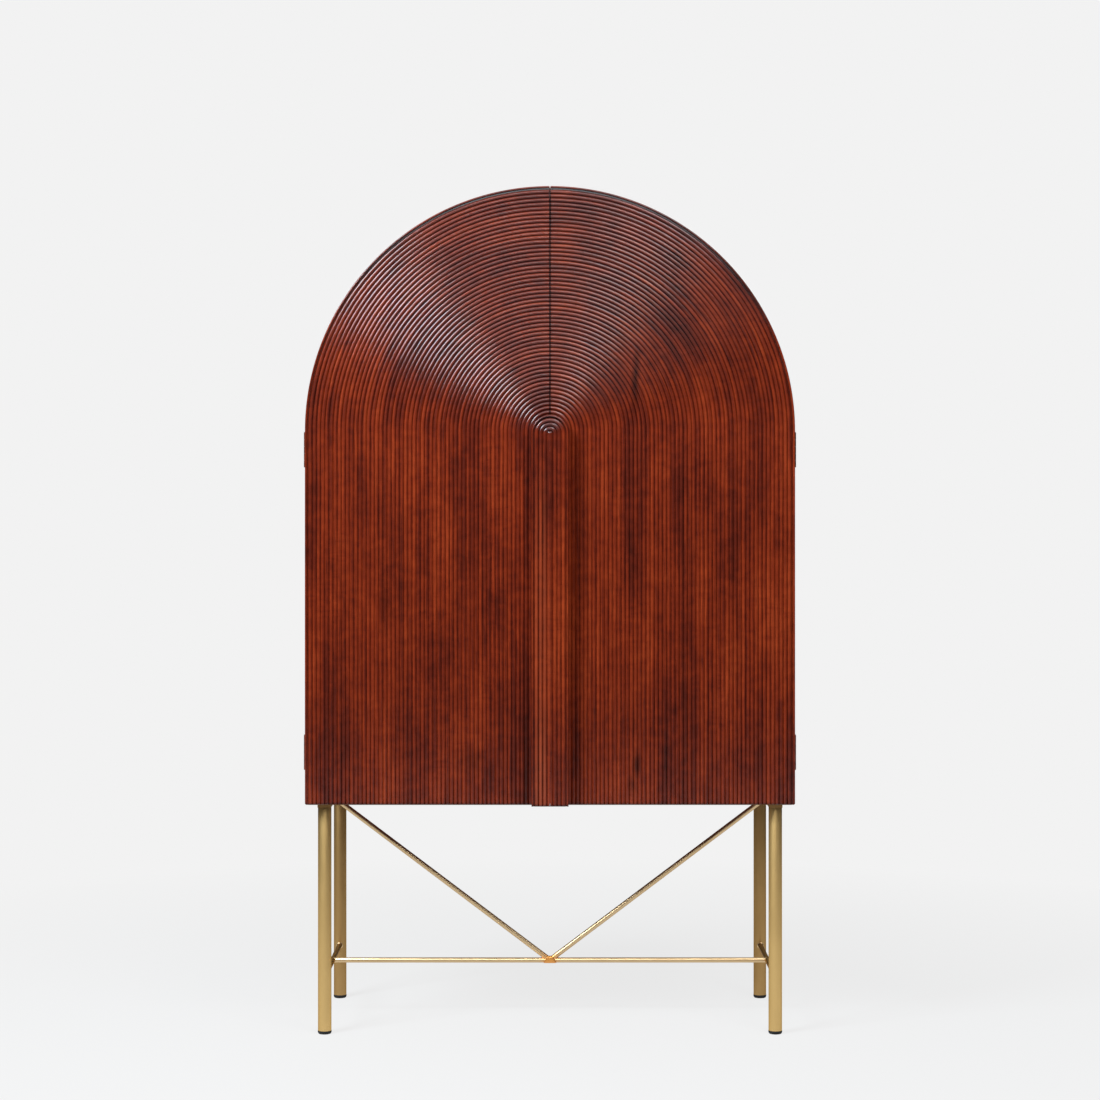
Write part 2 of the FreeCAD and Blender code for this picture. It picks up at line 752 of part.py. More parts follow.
def make_rods():
    """Side rods between the legs, the cross rod between them and the two braces."""
    front, back = V(leg_x, leg_front_y, rod_height), V(leg_x, leg_rear_y, rod_height)
    side = bar(rod_radius, front, back)
    posts = [
        bar(leg_radius + weld_gap, V(leg_x, y, 0), V(leg_x, y, foot_level))
        for y in (leg_front_y, leg_rear_y)
    ]
    parts["right_side_rod"] = side.cut(posts)
    left, right = V(-leg_x, leg_middle_y, rod_height), V(leg_x, leg_middle_y, rod_height)
    side_room = bar(rod_radius + weld_gap, front, back)
    cross_room = bar(rod_radius + weld_gap, left, right)
    parts["cross_rod"] = bar(rod_radius, left, right).cut([side_room, mirrored(side_room)])
    middle = V(0, leg_middle_y, rod_height)
    top = V(leg_x, leg_middle_y, rail_under)
    beyond = top + (top - middle) * (rod_radius * 2 / (top.z - middle.z))
    parts["brace_block"] = brace_junction(0).cut(cross_room)
    above = block(
        (0, leg_middle_y - leg_radius, rail_under), (half_width, leg_middle_y + leg_radius, foot_level * 2)
    )
    beside = block(
        (-leg_x, leg_middle_y - leg_radius, 0), (weld_gap / 2, leg_middle_y + leg_radius, foot_level)
    )
    away = [above, beside, cross_room, brace_junction(weld_gap)]
    parts["right_brace_rod"] = bar(rod_radius, middle, beyond).cut(away)


def finish():
    """Cuts every noted hole, makes the left-hand pieces and writes one file for each piece."""
    for name, shapes in cutters.items():
        parts[name] = parts[name].cut(shapes)
    for name in sorted(parts):
        if isinstance(parts[name], list):
            parts[name] = Part.makeCompound(parts[name])
        if "right_" in name:
            parts[name.replace("right_", "left_")] = mirrored(parts[name])
    os.makedirs("parts", exist_ok=True)
    for name, shape in sorted(parts.items()):
        shape.exportStep("parts/" + name + ".step")
        print("%-34s %d solids %12.1f mm3" % (name, len(shape.Solids), shape.Volume))
    print(len(parts), "pieces")


make_carcass()
make_door()
make_handle()
make_hinge("upper", upper_hinge_foot)
make_hinge("lower", lower_hinge_foot)
make_catch()
make_dowels()
make_loose_shelves()
make_back_screws()
make_legs()
make_rods()
finish()
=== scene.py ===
"""An arch-topped cabinet: reeded doors of stained mahogany on an underframe of brass tube and rod.

The sizes come from the frame. Every finish is procedural and every piece is in metres.
"""

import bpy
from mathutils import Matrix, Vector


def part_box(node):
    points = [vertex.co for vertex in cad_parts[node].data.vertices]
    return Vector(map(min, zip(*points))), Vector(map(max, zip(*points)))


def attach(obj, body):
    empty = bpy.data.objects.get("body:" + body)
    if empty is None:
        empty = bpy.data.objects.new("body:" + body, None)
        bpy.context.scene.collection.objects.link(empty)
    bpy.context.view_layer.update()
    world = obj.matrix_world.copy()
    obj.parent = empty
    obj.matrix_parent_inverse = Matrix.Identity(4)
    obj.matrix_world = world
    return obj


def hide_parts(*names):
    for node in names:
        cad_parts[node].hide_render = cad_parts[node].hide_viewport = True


bl_info = {
    "name": "Reeded Arch Cabinet",
    "version": (1, 0, 0),
    "blender": (4, 5, 0),
    "location": "3D View > Sidebar > Cabinet",
    "description": "Builds the reeded doors, arch and brass underframe of a cabinet, with their finishes",
    "category": "Object",
}

import math

import bmesh
import bpy
from mathutils import Matrix, Vector

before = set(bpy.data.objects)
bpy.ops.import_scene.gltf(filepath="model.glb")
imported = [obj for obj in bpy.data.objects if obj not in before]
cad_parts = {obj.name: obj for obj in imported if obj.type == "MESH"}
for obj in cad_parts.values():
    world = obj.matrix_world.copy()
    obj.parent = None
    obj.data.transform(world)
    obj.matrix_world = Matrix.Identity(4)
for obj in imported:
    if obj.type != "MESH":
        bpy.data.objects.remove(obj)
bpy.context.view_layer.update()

MM = 0.001
DOOR_LOW, DOOR_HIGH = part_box("right_door_panel")
STRIP_LOW, STRIP_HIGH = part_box("right_handle_half")
HALF_WIDTH = DOOR_HIGH.x
FOOT = DOOR_LOW.z
SPRING = DOOR_HIGH.z - HALF_WIDTH
STRIP_SPRING = STRIP_HIGH.z - STRIP_HIGH.x
QUARTER = math.radians(90)
FULL = math.radians(360)
SMOOTH_LIMIT = math.radians(38)

# The turns that round a quarter corner, and how finely curves are divided
CORNER = (0.0, math.radians(30), math.radians(60), QUARTER)
REED_STEPS = 10
ROD_SIDES = 32

# Points this near are one point, or lie on the plane that cuts
SAME_PLACE = MM * 0.001
ON_PLANE = MM * 0.0005

# How far the ends of the rods are rounded
BAR_EASE = MM * 0.1

# The camera's sensor and lens in millimetres, and the shift of its frame, downwards where negative
SENSOR_WIDTH = 36.0
LENS = 81.66
FRAME_SHIFT = -0.04


def linear(colour):
    """An sRGB hex colour as linear light, with an alpha of one."""
    channels = [int(colour[i:i + 2], 16) / 255 for i in (1, 3, 5)]
    return [c / 12.92 if c <= 0.04045 else ((c + 0.055) / 1.055) ** 2.4 for c in channels] + [1.0]


def size_property(name, description, millimetres):
    """A length that a user can change, with its default in millimetres."""
    return bpy.props.FloatProperty(
        name=name, description=description, default=millimetres * MM, min=0.0, unit="LENGTH", precision=5
    )


def colour_property(name, description, colour):
    """A colour that a user can change."""
    return bpy.props.FloatVectorProperty(
        name=name, description=description, default=linear(colour), size=4, min=0.0, max=1.0,
        subtype="COLOR",
    )


def share_property(name, description, value):
    """A share between nothing and all."""
    return bpy.props.FloatProperty(
        name=name, description=description, default=value, min=0.0, max=1.0, subtype="FACTOR"
    )


class ReedSettings(bpy.types.PropertyGroup):
    """Sizes of the reeds, beads and gaps of the doors and the handle strip."""

    pitch: size_property("Reed pitch", "From one groove to the next", 7.8)
    depth: size_property("Reed depth", "From the crest of a reed to its groove", 3.2)
    bead: size_property("Bead width", "Width of the bead along the outer edge", 3.6)
    bead_drop: size_property("Bead drop", "How far the bead lies behind the crests", 0.4)
    quirk_drop: size_property("Quirk drop", "How far the flat beside a bead lies behind the grooves", 1.4)
    door_quirk: size_property("Door quirk", "Width of the flat beside the bead of a door", 2.8)
    strip_quirk: size_property("Strip quirk", "Width of the flat beside the bead of the strip", 2.0)
    core: size_property("Core radius", "No reed of a door lies inside this radius", 24.0)
    door_gap: size_property("Door gap", "Gap between the doors", 1.8)
    strip_gap: size_property("Strip gap", "Gap between the halves of the strip", 0.3)
    seam_ease: size_property("Seam ease", "Chamfer of the doors along their gap", 0.4)
    foot_ease: size_property("Foot ease", "Chamfer along the lower front edge", 2.5)
    foot_round: size_property("Foot round", "Radius of the lower outer corners", 4.0)
    strip_fit: size_property("Strip fit", "Gap round the strip in its landing", 0.3)


class UnderframeSettings(bpy.types.PropertyGroup):
    """Sizes of the brass tubes, rods and glides."""

    wall: size_property("Tube wall", "Wall of the leg tube", 1.6)
    tube_ease: size_property("Tube ease", "Rounding of the ends of the tube", 0.5)
    rod: size_property("Rod radius", "Radius of the rods", 5.0)
    glide: size_property("Glide radius", "Radius of a glide", 12.5)
    glide_edge: size_property("Glide edge", "Rounding of a glide's foot", 2.6)
    glide_lip: size_property("Glide lip", "How far the lip of a glide stands out round the tube", 0.3)
    fillet: size_property("Braze fillet", "Size of the braze round a joint", 1.6)


class MahoganySettings(bpy.types.PropertyGroup):
    """Stain, grain and lacquer of the wooden pieces."""

    bright: colour_property("Bright stain", "The brightest streaks", "#943A1B")
    red: colour_property("Red stain", "The red-brown of most of the wood", "#762812")
    brown: colour_property("Brown stain", "The browner streaks", "#5A1D10")
    dark: colour_property("Dark stain", "The dark streaks of the grain", "#36120C")
    # Besides the stain in the arch's grooves, this colour is painted shade: over the arch, along the foot
    # and along the doors' seam
    groove: colour_property("Groove stain", "The stain that gathers between the reeds", "#140503")
    knot: colour_property("Knot", "The heart of a knot", "#150705")
    # A painted highlight on a few crests of the handle strip
    highlighted: colour_property("Rubbed crests", "Crests that hands have rubbed pale", "#BC5A38")
    # A painted reflection of the pale floor along the doors' lower edge
    arris_reflection: colour_property("Arris", "The lower edge of the doors, worn to thin stain", "#8E5A34")
    streak: size_property("Streak width", "Width of a streak across the grain", 9.0)
    streak_length: size_property("Streak length", "Length of a streak along the grain", 460.0)
    board: size_property("Board width", "Width of the light and dark bands", 75.0)
    fibre: size_property("Fibre width", "Width of a fibre, drawn as coarse as it needs to show", 1.7)
    fibre_length: size_property("Fibre length", "Length of a fibre along the grain", 45.0)
    gloss: share_property("Lacquer roughness", "Roughness of the satin lacquer", 0.2)
    sheen: colour_property("Lacquer sheen", "The cool tint of the highlights", "#EFF8FF")


class MetalSettings(bpy.types.PropertyGroup):
    """Colours of the metal pieces."""

    brass: colour_property("Brass", "The legs", "#DDBB7C")
    aged: colour_property("Aged brass", "Where the brass has gone darker", "#9E7A48")
    # The rods' paler, creamier brass is a painted highlight, standing in for the lamp's reflection along
    # their tops
    rods: colour_property("Rod brass", "The satin rods, which are rubbed brighter", "#D9BE94")
    # Painted shade on the brass just under the cabinet
    under_shade: colour_property("Smoked brass", "Brass just under the cabinet", "#7A5A32")
    # A darker copy of the brass, as painted shade for the rear legs, side rods and top rails
    rear: colour_property("Rear brass", "The rear legs, which were never polished bright", "#B6935F")
    braze: colour_property("Braze", "The brazing metal in the joints", "#F0A95C")
    sheen: colour_property("Brass sheen", "Tint of brass seen from a low angle", "#C4AD95")
    rod_sheen: colour_property("Rod sheen", "Tint of the rods seen from a low angle", "#E1CEB8")
    brushing: size_property("Brush line", "Spacing of the brush lines, drawn as coarse as they show", 0.8)
    brush_length: size_property("Brush length", "Length of a brush line", 40.0)


class StageSettings(bpy.types.PropertyGroup):
    """The camera and what stands round the cabinet."""

    distance: size_property("Camera distance", "From the camera to the front of the doors", 4680.0)
    eye_height: size_property("Camera height", "Height of the camera above the floor", 997.5)
    ground: colour_property("Ground", "Colour of the floor and the background", "#F2F2F2")
    floor_half: size_property("Floor", "Half the width of the floor", 20000.0)
    shadow_near: size_property("Shadow", "How far from the middle the floor holds a full shadow", 800.0)
    shadow_far: size_property("Shadow end", "How far from the middle the floor holds none", 2200.0)
    curtain_near: size_property("Curtain foot", "Inner radius of the dark cloth round the stage", 3700.0)
    curtain_far: size_property("Curtain", "Radius at which the dark cloth rises", 6500.0)
    curtain_height: size_property("Curtain height", "Height of the dark cloth", 4500.0)
    lamp_distance: size_property("Lamp distance", "From the lamps to the middle of the doors", 3600.0)


# Shapes

def run_on(shell, last, place):
    """Runs a wire straight on from its last vertex to a place."""
    made = bmesh.ops.extrude_vert_indiv(shell, verts=[last])["verts"][0]
    made.co = place
    return made


def turn_on(shell, last, centre, axis, angle, steps):
    """Runs a wire on from its last vertex in an arc round a centre."""
    made = bmesh.ops.spin(shell, geom=[last], cent=centre, axis=axis, angle=angle, steps=steps)
    return [item for item in made["geom_last"] if isinstance(item, bmesh.types.BMVert)][0]


def close_wire(shell, first, last):
    """Joins the two ends of a wire and gives all its edges."""
    shell.edges.new((last, first))
    return shell.edges[:]


def fill_open(shell):
    """Closes every hole of a shell."""
    rims = [edge for edge in shell.edges if edge.is_boundary]
    bmesh.ops.holes_fill(shell, edges=rims, sides=0)


def cut_off(shell, place, normal):
    """Takes away what lies behind a plane and closes the cut."""
    geometry = shell.verts[:] + shell.edges[:] + shell.faces[:]
    bmesh.ops.bisect_plane(
        shell, geom=geometry, dist=ON_PLANE, plane_co=place, plane_no=normal, clear_inner=True
    )
    fill_open(shell)


def turned(shell, outline, place=(0, 0, 0), along=(0, 0, 1), steps=48):
    """Turns a closed outline of radius and height round an axis into a ring or a solid."""
    new = bmesh.new()
    first = last = new.verts.new((outline[0][0], 0, outline[0][1]))
    for radius, height in outline[1:]:
        last = run_on(new, last, (radius, 0, height))
    edges = close_wire(new, first, last)
    bmesh.ops.spin(new, geom=new.verts[:] + edges, cent=(0, 0, 0), axis=(0, 0, 1), angle=FULL,
                   steps=steps, use_merge=True)
    bmesh.ops.remove_doubles(new, verts=new.verts[:], dist=SAME_PLACE)
    bmesh.ops.recalc_face_normals(new, faces=new.faces[:])
    turn = Vector(along).to_track_quat("Z", "X").to_matrix().to_4x4()
    new.transform(Matrix.Translation(place) @ turn)
    mesh = bpy.data.meshes.new("turned")
    new.to_mesh(mesh)
    new.free()
    shell.from_mesh(mesh)
    bpy.data.meshes.remove(mesh)


def rounded(radius, low, high, ease, inner=0.0):
    """The outline of a bar or tube with eased ends, as radius and height."""
    corner = [(radius - ease * (1 - math.sin(turn)), ease * (1 - math.cos(turn)))
              for turn in CORNER]
    foot = [(r, low + h) for r, h in corner]
    top = [(r, high - h) for r, h in reversed(corner)]
    return [(inner, low)] + foot + top + [(inner, high)]


def make_piece(name, shell, body, material, replaced=()):
    """Makes an object of a shell, and ties it to its body, slot and the nodes that it replaces."""
    mesh = bpy.data.meshes.new(name)
    shell.to_mesh(mesh)
    shell.free()
    tie_piece(name, mesh, body, material, replaced)


def tie_piece(name, mesh, body, material, replaced=()):
    """Makes an object of a mesh, and ties it to its body, slot and the nodes that it replaces."""
    mesh.shade_smooth()
    mesh.set_sharp_from_angle(angle=SMOOTH_LIMIT)
    mesh.materials.clear()
    mesh.materials.append(material)
    piece = bpy.data.objects.new(name, mesh)
    bpy.context.scene.collection.objects.link(piece)
    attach(piece, body)
    if replaced:
        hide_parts(*replaced)


def reeded_wire(shell, half, centre, front, back, quirk, core, inmost):
    """The outline of half a reeded board, seen from above: its back, bead, quirk and round reeds.

    It starts at the core, and no reed lies inside the inmost radius. It is left open there, and
    the first and last vertex and the edge of the last reed are given.
    """
    reed = bpy.context.scene.reeding
    bead = reed.bead / 2
    bead_level = front + reed.bead_drop + bead
    groove = front + reed.depth
    first = shell.verts.new((core, back, centre))
    last = run_on(shell, first, (half, back, centre))
    last = run_on(shell, last, (half, bead_level, centre))
    last = turn_on(shell, last, (half - bead, bead_level, centre), (0, 0, -1), math.pi, REED_STEPS)
    edge = half - reed.bead
    last = run_on(shell, last, (edge, groove + reed.quirk_drop, centre))
    edge -= quirk
    last = run_on(shell, last, (edge, groove + reed.quirk_drop, centre))
    last = run_on(shell, last, (edge, groove, centre))
    reed_half = reed.pitch / 2
    radius = (reed_half ** 2 + reed.depth ** 2) / (2 * reed.depth)
    sweep = 2 * math.asin(reed_half / radius)
    while edge - reed.pitch >= inmost:
        middle = (edge - reed_half, front + radius, centre)
        last = turn_on(shell, last, middle, (0, 0, -1), sweep, REED_STEPS)
        edge -= reed.pitch
    return first, last, edge


def sweep_board(shell, centre, steps):
    """Runs a closed outline down to the foot and a quarter turn over the top."""
    wire = shell.edges[:]
    ring = shell.verts[:] + wire
    down = bmesh.ops.extrude_edge_only(shell, edges=wire)["geom"]
    lower = [item for item in down if isinstance(item, bmesh.types.BMVert)]
    bmesh.ops.translate(shell, verts=lower, vec=(0, 0, FOOT - centre))
    bmesh.ops.spin(shell, geom=ring, cent=(0, 0, centre), axis=(0, -1, 0), angle=QUARTER, steps=steps)
    fill_open(shell)
    bmesh.ops.recalc_face_normals(shell, faces=shell.faces[:])


def door_shell():
    """The right door before its pockets are cut."""
    reed = bpy.context.scene.reeding
    shell = bmesh.new()
    core = reed.door_gap / 4
    first, last, _ = reeded_wire(
        shell, HALF_WIDTH, SPRING, DOOR_LOW.y, DOOR_HIGH.y, reed.door_quirk, core, reed.core)
    last = run_on(shell, last, (core, DOOR_LOW.y + reed.depth, SPRING))
    close_wire(shell, first, last)
    sweep_board(shell, SPRING, steps=60)
    gap = reed.door_gap / 2
    cut_off(shell, (gap, 0, 0), (1, 0, 0))
    cut_off(shell, (gap + reed.seam_ease, DOOR_LOW.y, 0), (1, 1, 0))
    cut_off(shell, (0, DOOR_LOW.y, FOOT + reed.foot_ease), (0, 1, 1))
    return shell


def strip_shell():
    """The right half of the handle strip."""
    reed = bpy.context.scene.reeding
    shell = bmesh.new()
    half, front = STRIP_HIGH.x, STRIP_LOW.y
    core = reed.strip_gap / 4
    first, last, edge = reeded_wire(
        shell, half, STRIP_SPRING, front, STRIP_HIGH.y, reed.strip_quirk, core, core)
    radius = (edge ** 2 + reed.depth ** 2) / (2 * reed.depth)
    sweep = math.asin(edge / radius) - math.asin(core / radius)
    last = turn_on(shell, last, (0, front + radius, STRIP_SPRING), (0, 0, -1), sweep, REED_STEPS)
    close_wire(shell, first, last)
    sweep_board(shell, STRIP_SPRING, steps=40)
    cut_off(shell, (reed.strip_gap / 2, 0, 0), (1, 0, 0))
    cut_off(shell, (0, front, FOOT + reed.foot_ease), (0, 1, 1))
    return shell


def prism(shell, build, run):
    """Adds a straight-sided solid: build draws its outline as a closed wire, and run is its length."""
    new = bmesh.new()
    build(new)
    face = bmesh.ops.edgeloop_fill(new, edges=new.edges[:])["faces"]
    made = bmesh.ops.extrude_face_region(new, geom=face)["geom"]
    moved = [item for item in made if isinstance(item, bmesh.types.BMVert)]
    bmesh.ops.translate(new, verts=moved, vec=run)
    bmesh.ops.recalc_face_normals(new, faces=new.faces[:])
    mesh = bpy.data.meshes.new("prism")
    new.to_mesh(mesh)
    new.free()
    shell.from_mesh(mesh)
    bpy.data.meshes.remove(mesh)


def box_between(shell, low, high):
    """Adds a box between two corners."""
    size = [b - a for a, b in zip(low, high)]
    middle = [(a + b) / 2 for a, b in zip(low, high)]
    matrix = Matrix.Translation(middle) @ Matrix.Diagonal((*size, 1.0))
    bmesh.ops.create_cube(shell, size=1.0, matrix=matrix)


def landing_wire(shell):
    """The outline of the landing of the handle strip in the doors."""
    half = STRIP_HIGH.x + bpy.context.scene.reeding.strip_fit
    y, below = DOOR_LOW.y - half, FOOT - half
    first = shell.verts.new((-half, y, below))
    last = run_on(shell, first, (half, y, below))
    last = run_on(shell, last, (half, y, STRIP_SPRING))
    last = turn_on(shell, last, (0, y, STRIP_SPRING), (0, -1, 0), math.pi, steps=48)
    close_wire(shell, first, last)


def corner_wire(shell):
    """The outline of what is taken off a lower outer corner."""
    turn = bpy.context.scene.reeding.foot_round
    y, far = DOOR_LOW.y - turn, HALF_WIDTH + turn
    first = shell.verts.new((HALF_WIDTH - turn, y, FOOT - turn))
    last = run_on(shell, first, (far, y, FOOT - turn))
    last = run_on(shell, last, (far, y, FOOT + turn))
    last = run_on(shell, last, (HALF_WIDTH, y, FOOT + turn))
    last = turn_on(shell, last, (HALF_WIDTH - turn, y, FOOT + turn), (0, 1, 0), QUARTER, steps=6)
    close_wire(shell, first, last)


def screw_holes(shell, count):
    """Adds what is cut for the handle screws: for each a countersink and a hole through the door."""
    low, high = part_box("right_handle_screws")
    head = (high.x - low.x) / 2
    hole = [(0, -head), (head, -head), (head, 0), (head / 2, head / 2), (head / 2, head * 4), (0, head * 4)]
    for step in range(count):
        level = low.z + head + (high.z - low.z - head * 2) * step / (count - 1)
        turned(shell, hole, ((low.x + high.x) / 2, DOOR_HIGH.y, level), (0, -1, 0), steps=24)


def hinge_rooms(mortises, barrels, place):
    """Adds what is cut for one hinge: the pocket of its leaf and the room of its barrel."""
    low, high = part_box("right_" + place + "_hinge_door_leaf")
    leaf_fit, leaf_depth, beyond = MM * 0.15, MM * 0.7, MM * 5
    box_between(mortises, (low.x - leaf_fit, DOOR_HIGH.y - leaf_depth, low.z - leaf_fit),
                (HALF_WIDTH + beyond, DOOR_HIGH.y + beyond, high.z + leaf_fit))
    barrel = (high.y - low.y) / 2
    axis = (high.x - barrel, (high.y + low.y) / 2, low.z)
    room, below, above = barrel + MM * 0.4, -MM * 0.6, high.z - low.z + MM * 1.8
    outline = [(0, below), (room, below), (room, above), (0, above)]
    turned(barrels, outline, axis, (0, 0, 1), steps=32)


def door_pockets():
    """What is cut from the right door: landing, corner, screw holes, hinge pockets and barrel rooms."""
    reed = bpy.context.scene.reeding
    face, mortises, barrels = bmesh.new(), bmesh.new(), bmesh.new()
    depth = STRIP_HIGH.y - DOOR_LOW.y
    prism(face, landing_wire, (0, STRIP_HIGH.x + reed.strip_fit + depth, 0))
    prism(face, corner_wire, (0, (DOOR_HIGH.y - DOOR_LOW.y) + reed.foot_round * 2, 0))
    screw_holes(face, count=4)
    for place in ("upper", "lower"):
        hinge_rooms(mortises, barrels, place)
    return face, mortises, barrels


def cut_pockets(shell, pockets):
    """Cuts other shells from a shell and gives the mesh that is left."""
    objects = []
    for part in (shell, *pockets):
        mesh = bpy.data.meshes.new("cut")
        part.to_mesh(mesh)
        part.free()
        objects.append(bpy.data.objects.new("cut", mesh))
        bpy.context.scene.collection.objects.link(objects[-1])
    board = objects[0]
    for cutter in objects[1:]:
        modifier = board.modifiers.new("cut", "BOOLEAN")
        modifier.operation = "DIFFERENCE"
        modifier.solver = "EXACT"
        modifier.object = cutter
    graph = bpy.context.evaluated_depsgraph_get()
    result = bpy.data.meshes.new_from_object(board.evaluated_get(graph))
    for item in objects:
        mesh = item.data
        bpy.data.objects.remove(item)
        bpy.data.meshes.remove(mesh)
    return result


def mirrored(mesh, name):
    """The same mesh on the other side of the cabinet."""
    shell = bmesh.new()
    shell.from_mesh(mesh)
    bmesh.ops.scale(shell, vec=(-1, 1, 1), verts=shell.verts[:])
    bmesh.ops.reverse_faces(shell, faces=shell.faces[:])
    other = bpy.data.meshes.new(name)
    shell.to_mesh(other)
    shell.free()
    return other


# Nodes

def add(tree, kind, *values, inputs=None, stops=(), **settings):
    """Adds one shader node with its settings, and fills its inputs in their order or by name.

    An input takes a value, a socket or a node. Of a node, the first output in use is linked.
    """
    made = tree.nodes.new("ShaderNode" + kind)
    for name, value in settings.items():
        setattr(made, name, value)
    if stops:
        while len(made.color_ramp.elements) < len(stops):
            made.color_ramp.elements.new(1.0)
        for element, (place, colour) in zip(made.color_ramp.elements, stops):
            element.position = place
            element.color = colour
    filled = list(zip([socket for socket in made.inputs if socket.enabled], values))
    filled += [(made.inputs[name], value) for name, value in (inputs or {}).items()]
    for socket, value in filled:
        if isinstance(value, bpy.types.Node):
            value = next(output for output in value.outputs if output.enabled)
        if isinstance(value, bpy.types.NodeSocket):
            tree.links.new(value, socket)
        else:
            socket.default_value = value
    return made


def new_material(name):
    """A material with an empty node tree, and that tree."""
    material = bpy.data.materials.new(name)
    material.use_nodes = True
    tree = material.node_tree
    tree.nodes.clear()
    return material, tree


def clouds(tree, place, sizes, detail, roughness=0.5):
    """A cloudy pattern whose clouds have these sizes in metres along X, Y and Z."""
    scale = [1 / size for size in sizes]
    mapped = add(tree, "Mapping", place, inputs={"Scale": scale})
    return add(tree, "TexNoise", mapped, inputs={"Scale": 1.0, "Detail": detail, "Roughness": roughness})


def from_spot(tree, place, x, z, wide, high):
    """How far a place is from a spot, where one is the spot's edge."""
    spot = add(tree, "Mapping", place, inputs={
        "Location": (-x / wide, 0.0, -z / high), "Scale": (1 / wide, 0.0, 1 / high)})
    return add(tree, "VectorMath", spot, operation="LENGTH")


def tint(tree, colour, other, value, low, high, first, last):
    """Tints a colour with another: by the first share where a value is low, by the last where high."""
    share = add(tree, "MapRange", value, low, high, first, last)
    return add(tree, "Mix", share, colour, other, data_type="RGBA")


# Finishes of wood

# Knots as x, z, width, height and how dark each is
KNOTS = (
    (0.163, 1.235, 0.006, 0.045, 0.75), (0.163, 0.512, 0.006, 0.020, 0.7), (0.154, 0.475, 0.008, 0.014, 0.5),
    (-0.150, 0.520, 0.016, 0.022, 0.35), (-0.309, 0.821, 0.010, 0.040, 0.25),
)

# Where a highlight is painted on the crests, as x, z, width, height and how much
PAINTED_HIGHLIGHTS = ((-0.0165, 0.740, 0.015, 0.300, 0.25), (-0.0165, 0.470, 0.012, 0.100, 0.30))

# How far the boards' sawn bands and the grain in them wander sideways, in metres
BAND_WANDER = (0.05, 0.05, 0.0)
GRAIN_WANDER = (0.015, 0.015, 0.0)

# How many times in a metre they wander
WANDERS = (4.0, 4.0, 2.2)

# Sizes of the small patterns in the wood, in metres
MOTTLE_SIZE = (0.018, 0.018, 0.016)
RIPPLE_SIZE = (0.030, 0.030, 0.007)
KNOT_RAG = (0.012, 0.012, 0.012)
FLECK_SIZE = (0.006, 0.0008, 0.0008)


def along_reeds(tree, place, spring):
    """Straightens the reeds: gives the place on a straight board, and its height in the arch.

    The height is nothing below the spring of the arch, and one at its crown.
    """
    parts = add(tree, "SeparateXYZ", place).outputs
    height = add(tree, "Math", parts["Z"], spring, operation="SUBTRACT")
    up = add(tree, "Math", height, 0.0, operation="MAXIMUM")
    down = add(tree, "Math", height, 0.0, operation="MINIMUM")
    reach = add(tree, "CombineXYZ", parts["X"], 0.0, up)
    radius = add(tree, "VectorMath", reach, operation="LENGTH")
    side = add(tree, "Math", parts["X"], operation="SIGN")
    across = add(tree, "Math", radius, side, operation="MULTIPLY")
    beside = add(tree, "Math", parts["X"], operation="ABSOLUTE")
    turn = add(tree, "Math", up, beside, operation="ARCTAN2")
    arc = add(tree, "Math", radius, turn, operation="MULTIPLY")
    along = add(tree, "Math", down, arc, operation="ADD")
    board = add(tree, "CombineXYZ", across, parts["Y"], along)
    return board, add(tree, "Math", up, radius, operation="DIVIDE")


def mahogany_grain(tree, place, board, shade):
    """The stained grain along a straight board: gives its colour, and the fibres that stand out in it."""
    wood = bpy.context.scene.mahogany
    wander = add(tree, "Mapping", place, inputs={"Scale": WANDERS})
    wander = add(tree, "TexNoise", wander, inputs={"Scale": 1.0, "Detail": 2.0}).outputs["Color"]
    wander = add(tree, "VectorMath", wander, (0.5, 0.5, 0.5), operation="SUBTRACT")
    veins = add(tree, "VectorMath", wander, BAND_WANDER, operation="MULTIPLY")
    veins = add(tree, "VectorMath", place, veins, operation="ADD")
    grain = add(tree, "VectorMath", wander, GRAIN_WANDER, operation="MULTIPLY")
    grain = add(tree, "VectorMath", board, grain, operation="ADD")

    streak, long, width = wood.streak, wood.streak_length, wood.board
    patches = clouds(tree, grain, (width * 1.2, width * 1.2, width * 3.2), 2.0)
    patterns = (
        (clouds(tree, grain, (streak, streak, long), 6.0, 0.62), 0.40),
        (clouds(tree, veins, (width, width, long * 2.4), 3.0), 0.20),
        (patches, 0.24),
        (clouds(tree, grain, MOTTLE_SIZE, 3.0, 0.6), 0.16),
    )
    tone = -shade
    for pattern, weight in patterns:
        tone = add(tree, "Math", pattern, weight, tone, operation="MULTIPLY_ADD")
    ripple = add(tree, "MapRange", clouds(tree, grain, RIPPLE_SIZE, 2.0), 0.5, 0.75, 0.0, 1.0)
    rippled = add(tree, "MapRange", patches, 0.52, 0.68, 0.0, 0.04)
    ripple = add(tree, "Math", ripple, rippled, operation="MULTIPLY")
    tone = add(tree, "Math", tone, ripple, operation="SUBTRACT")
    colour = add(tree, "ValToRGB", tone, stops=(
        (0.36, wood.dark), (0.45, wood.brown), (0.52, wood.red), (0.63, wood.bright)))

    fibres = clouds(tree, grain, (wood.fibre, wood.fibre, wood.fibre_length), 2.0)
    colour = tint(tree, colour, wood.dark, fibres, 0.50, 0.72, 0.0, 0.5)
    ragged = clouds(tree, place, KNOT_RAG, 3.0)
    for x, z, wide, high, darkness in KNOTS:
        reach = add(tree, "Math", from_spot(tree, veins, x, z, wide, high), ragged, operation="ADD")
        colour = tint(tree, colour, wood.knot, reach, 0.8, 2.2, darkness, 0.0)
    return colour, fibres


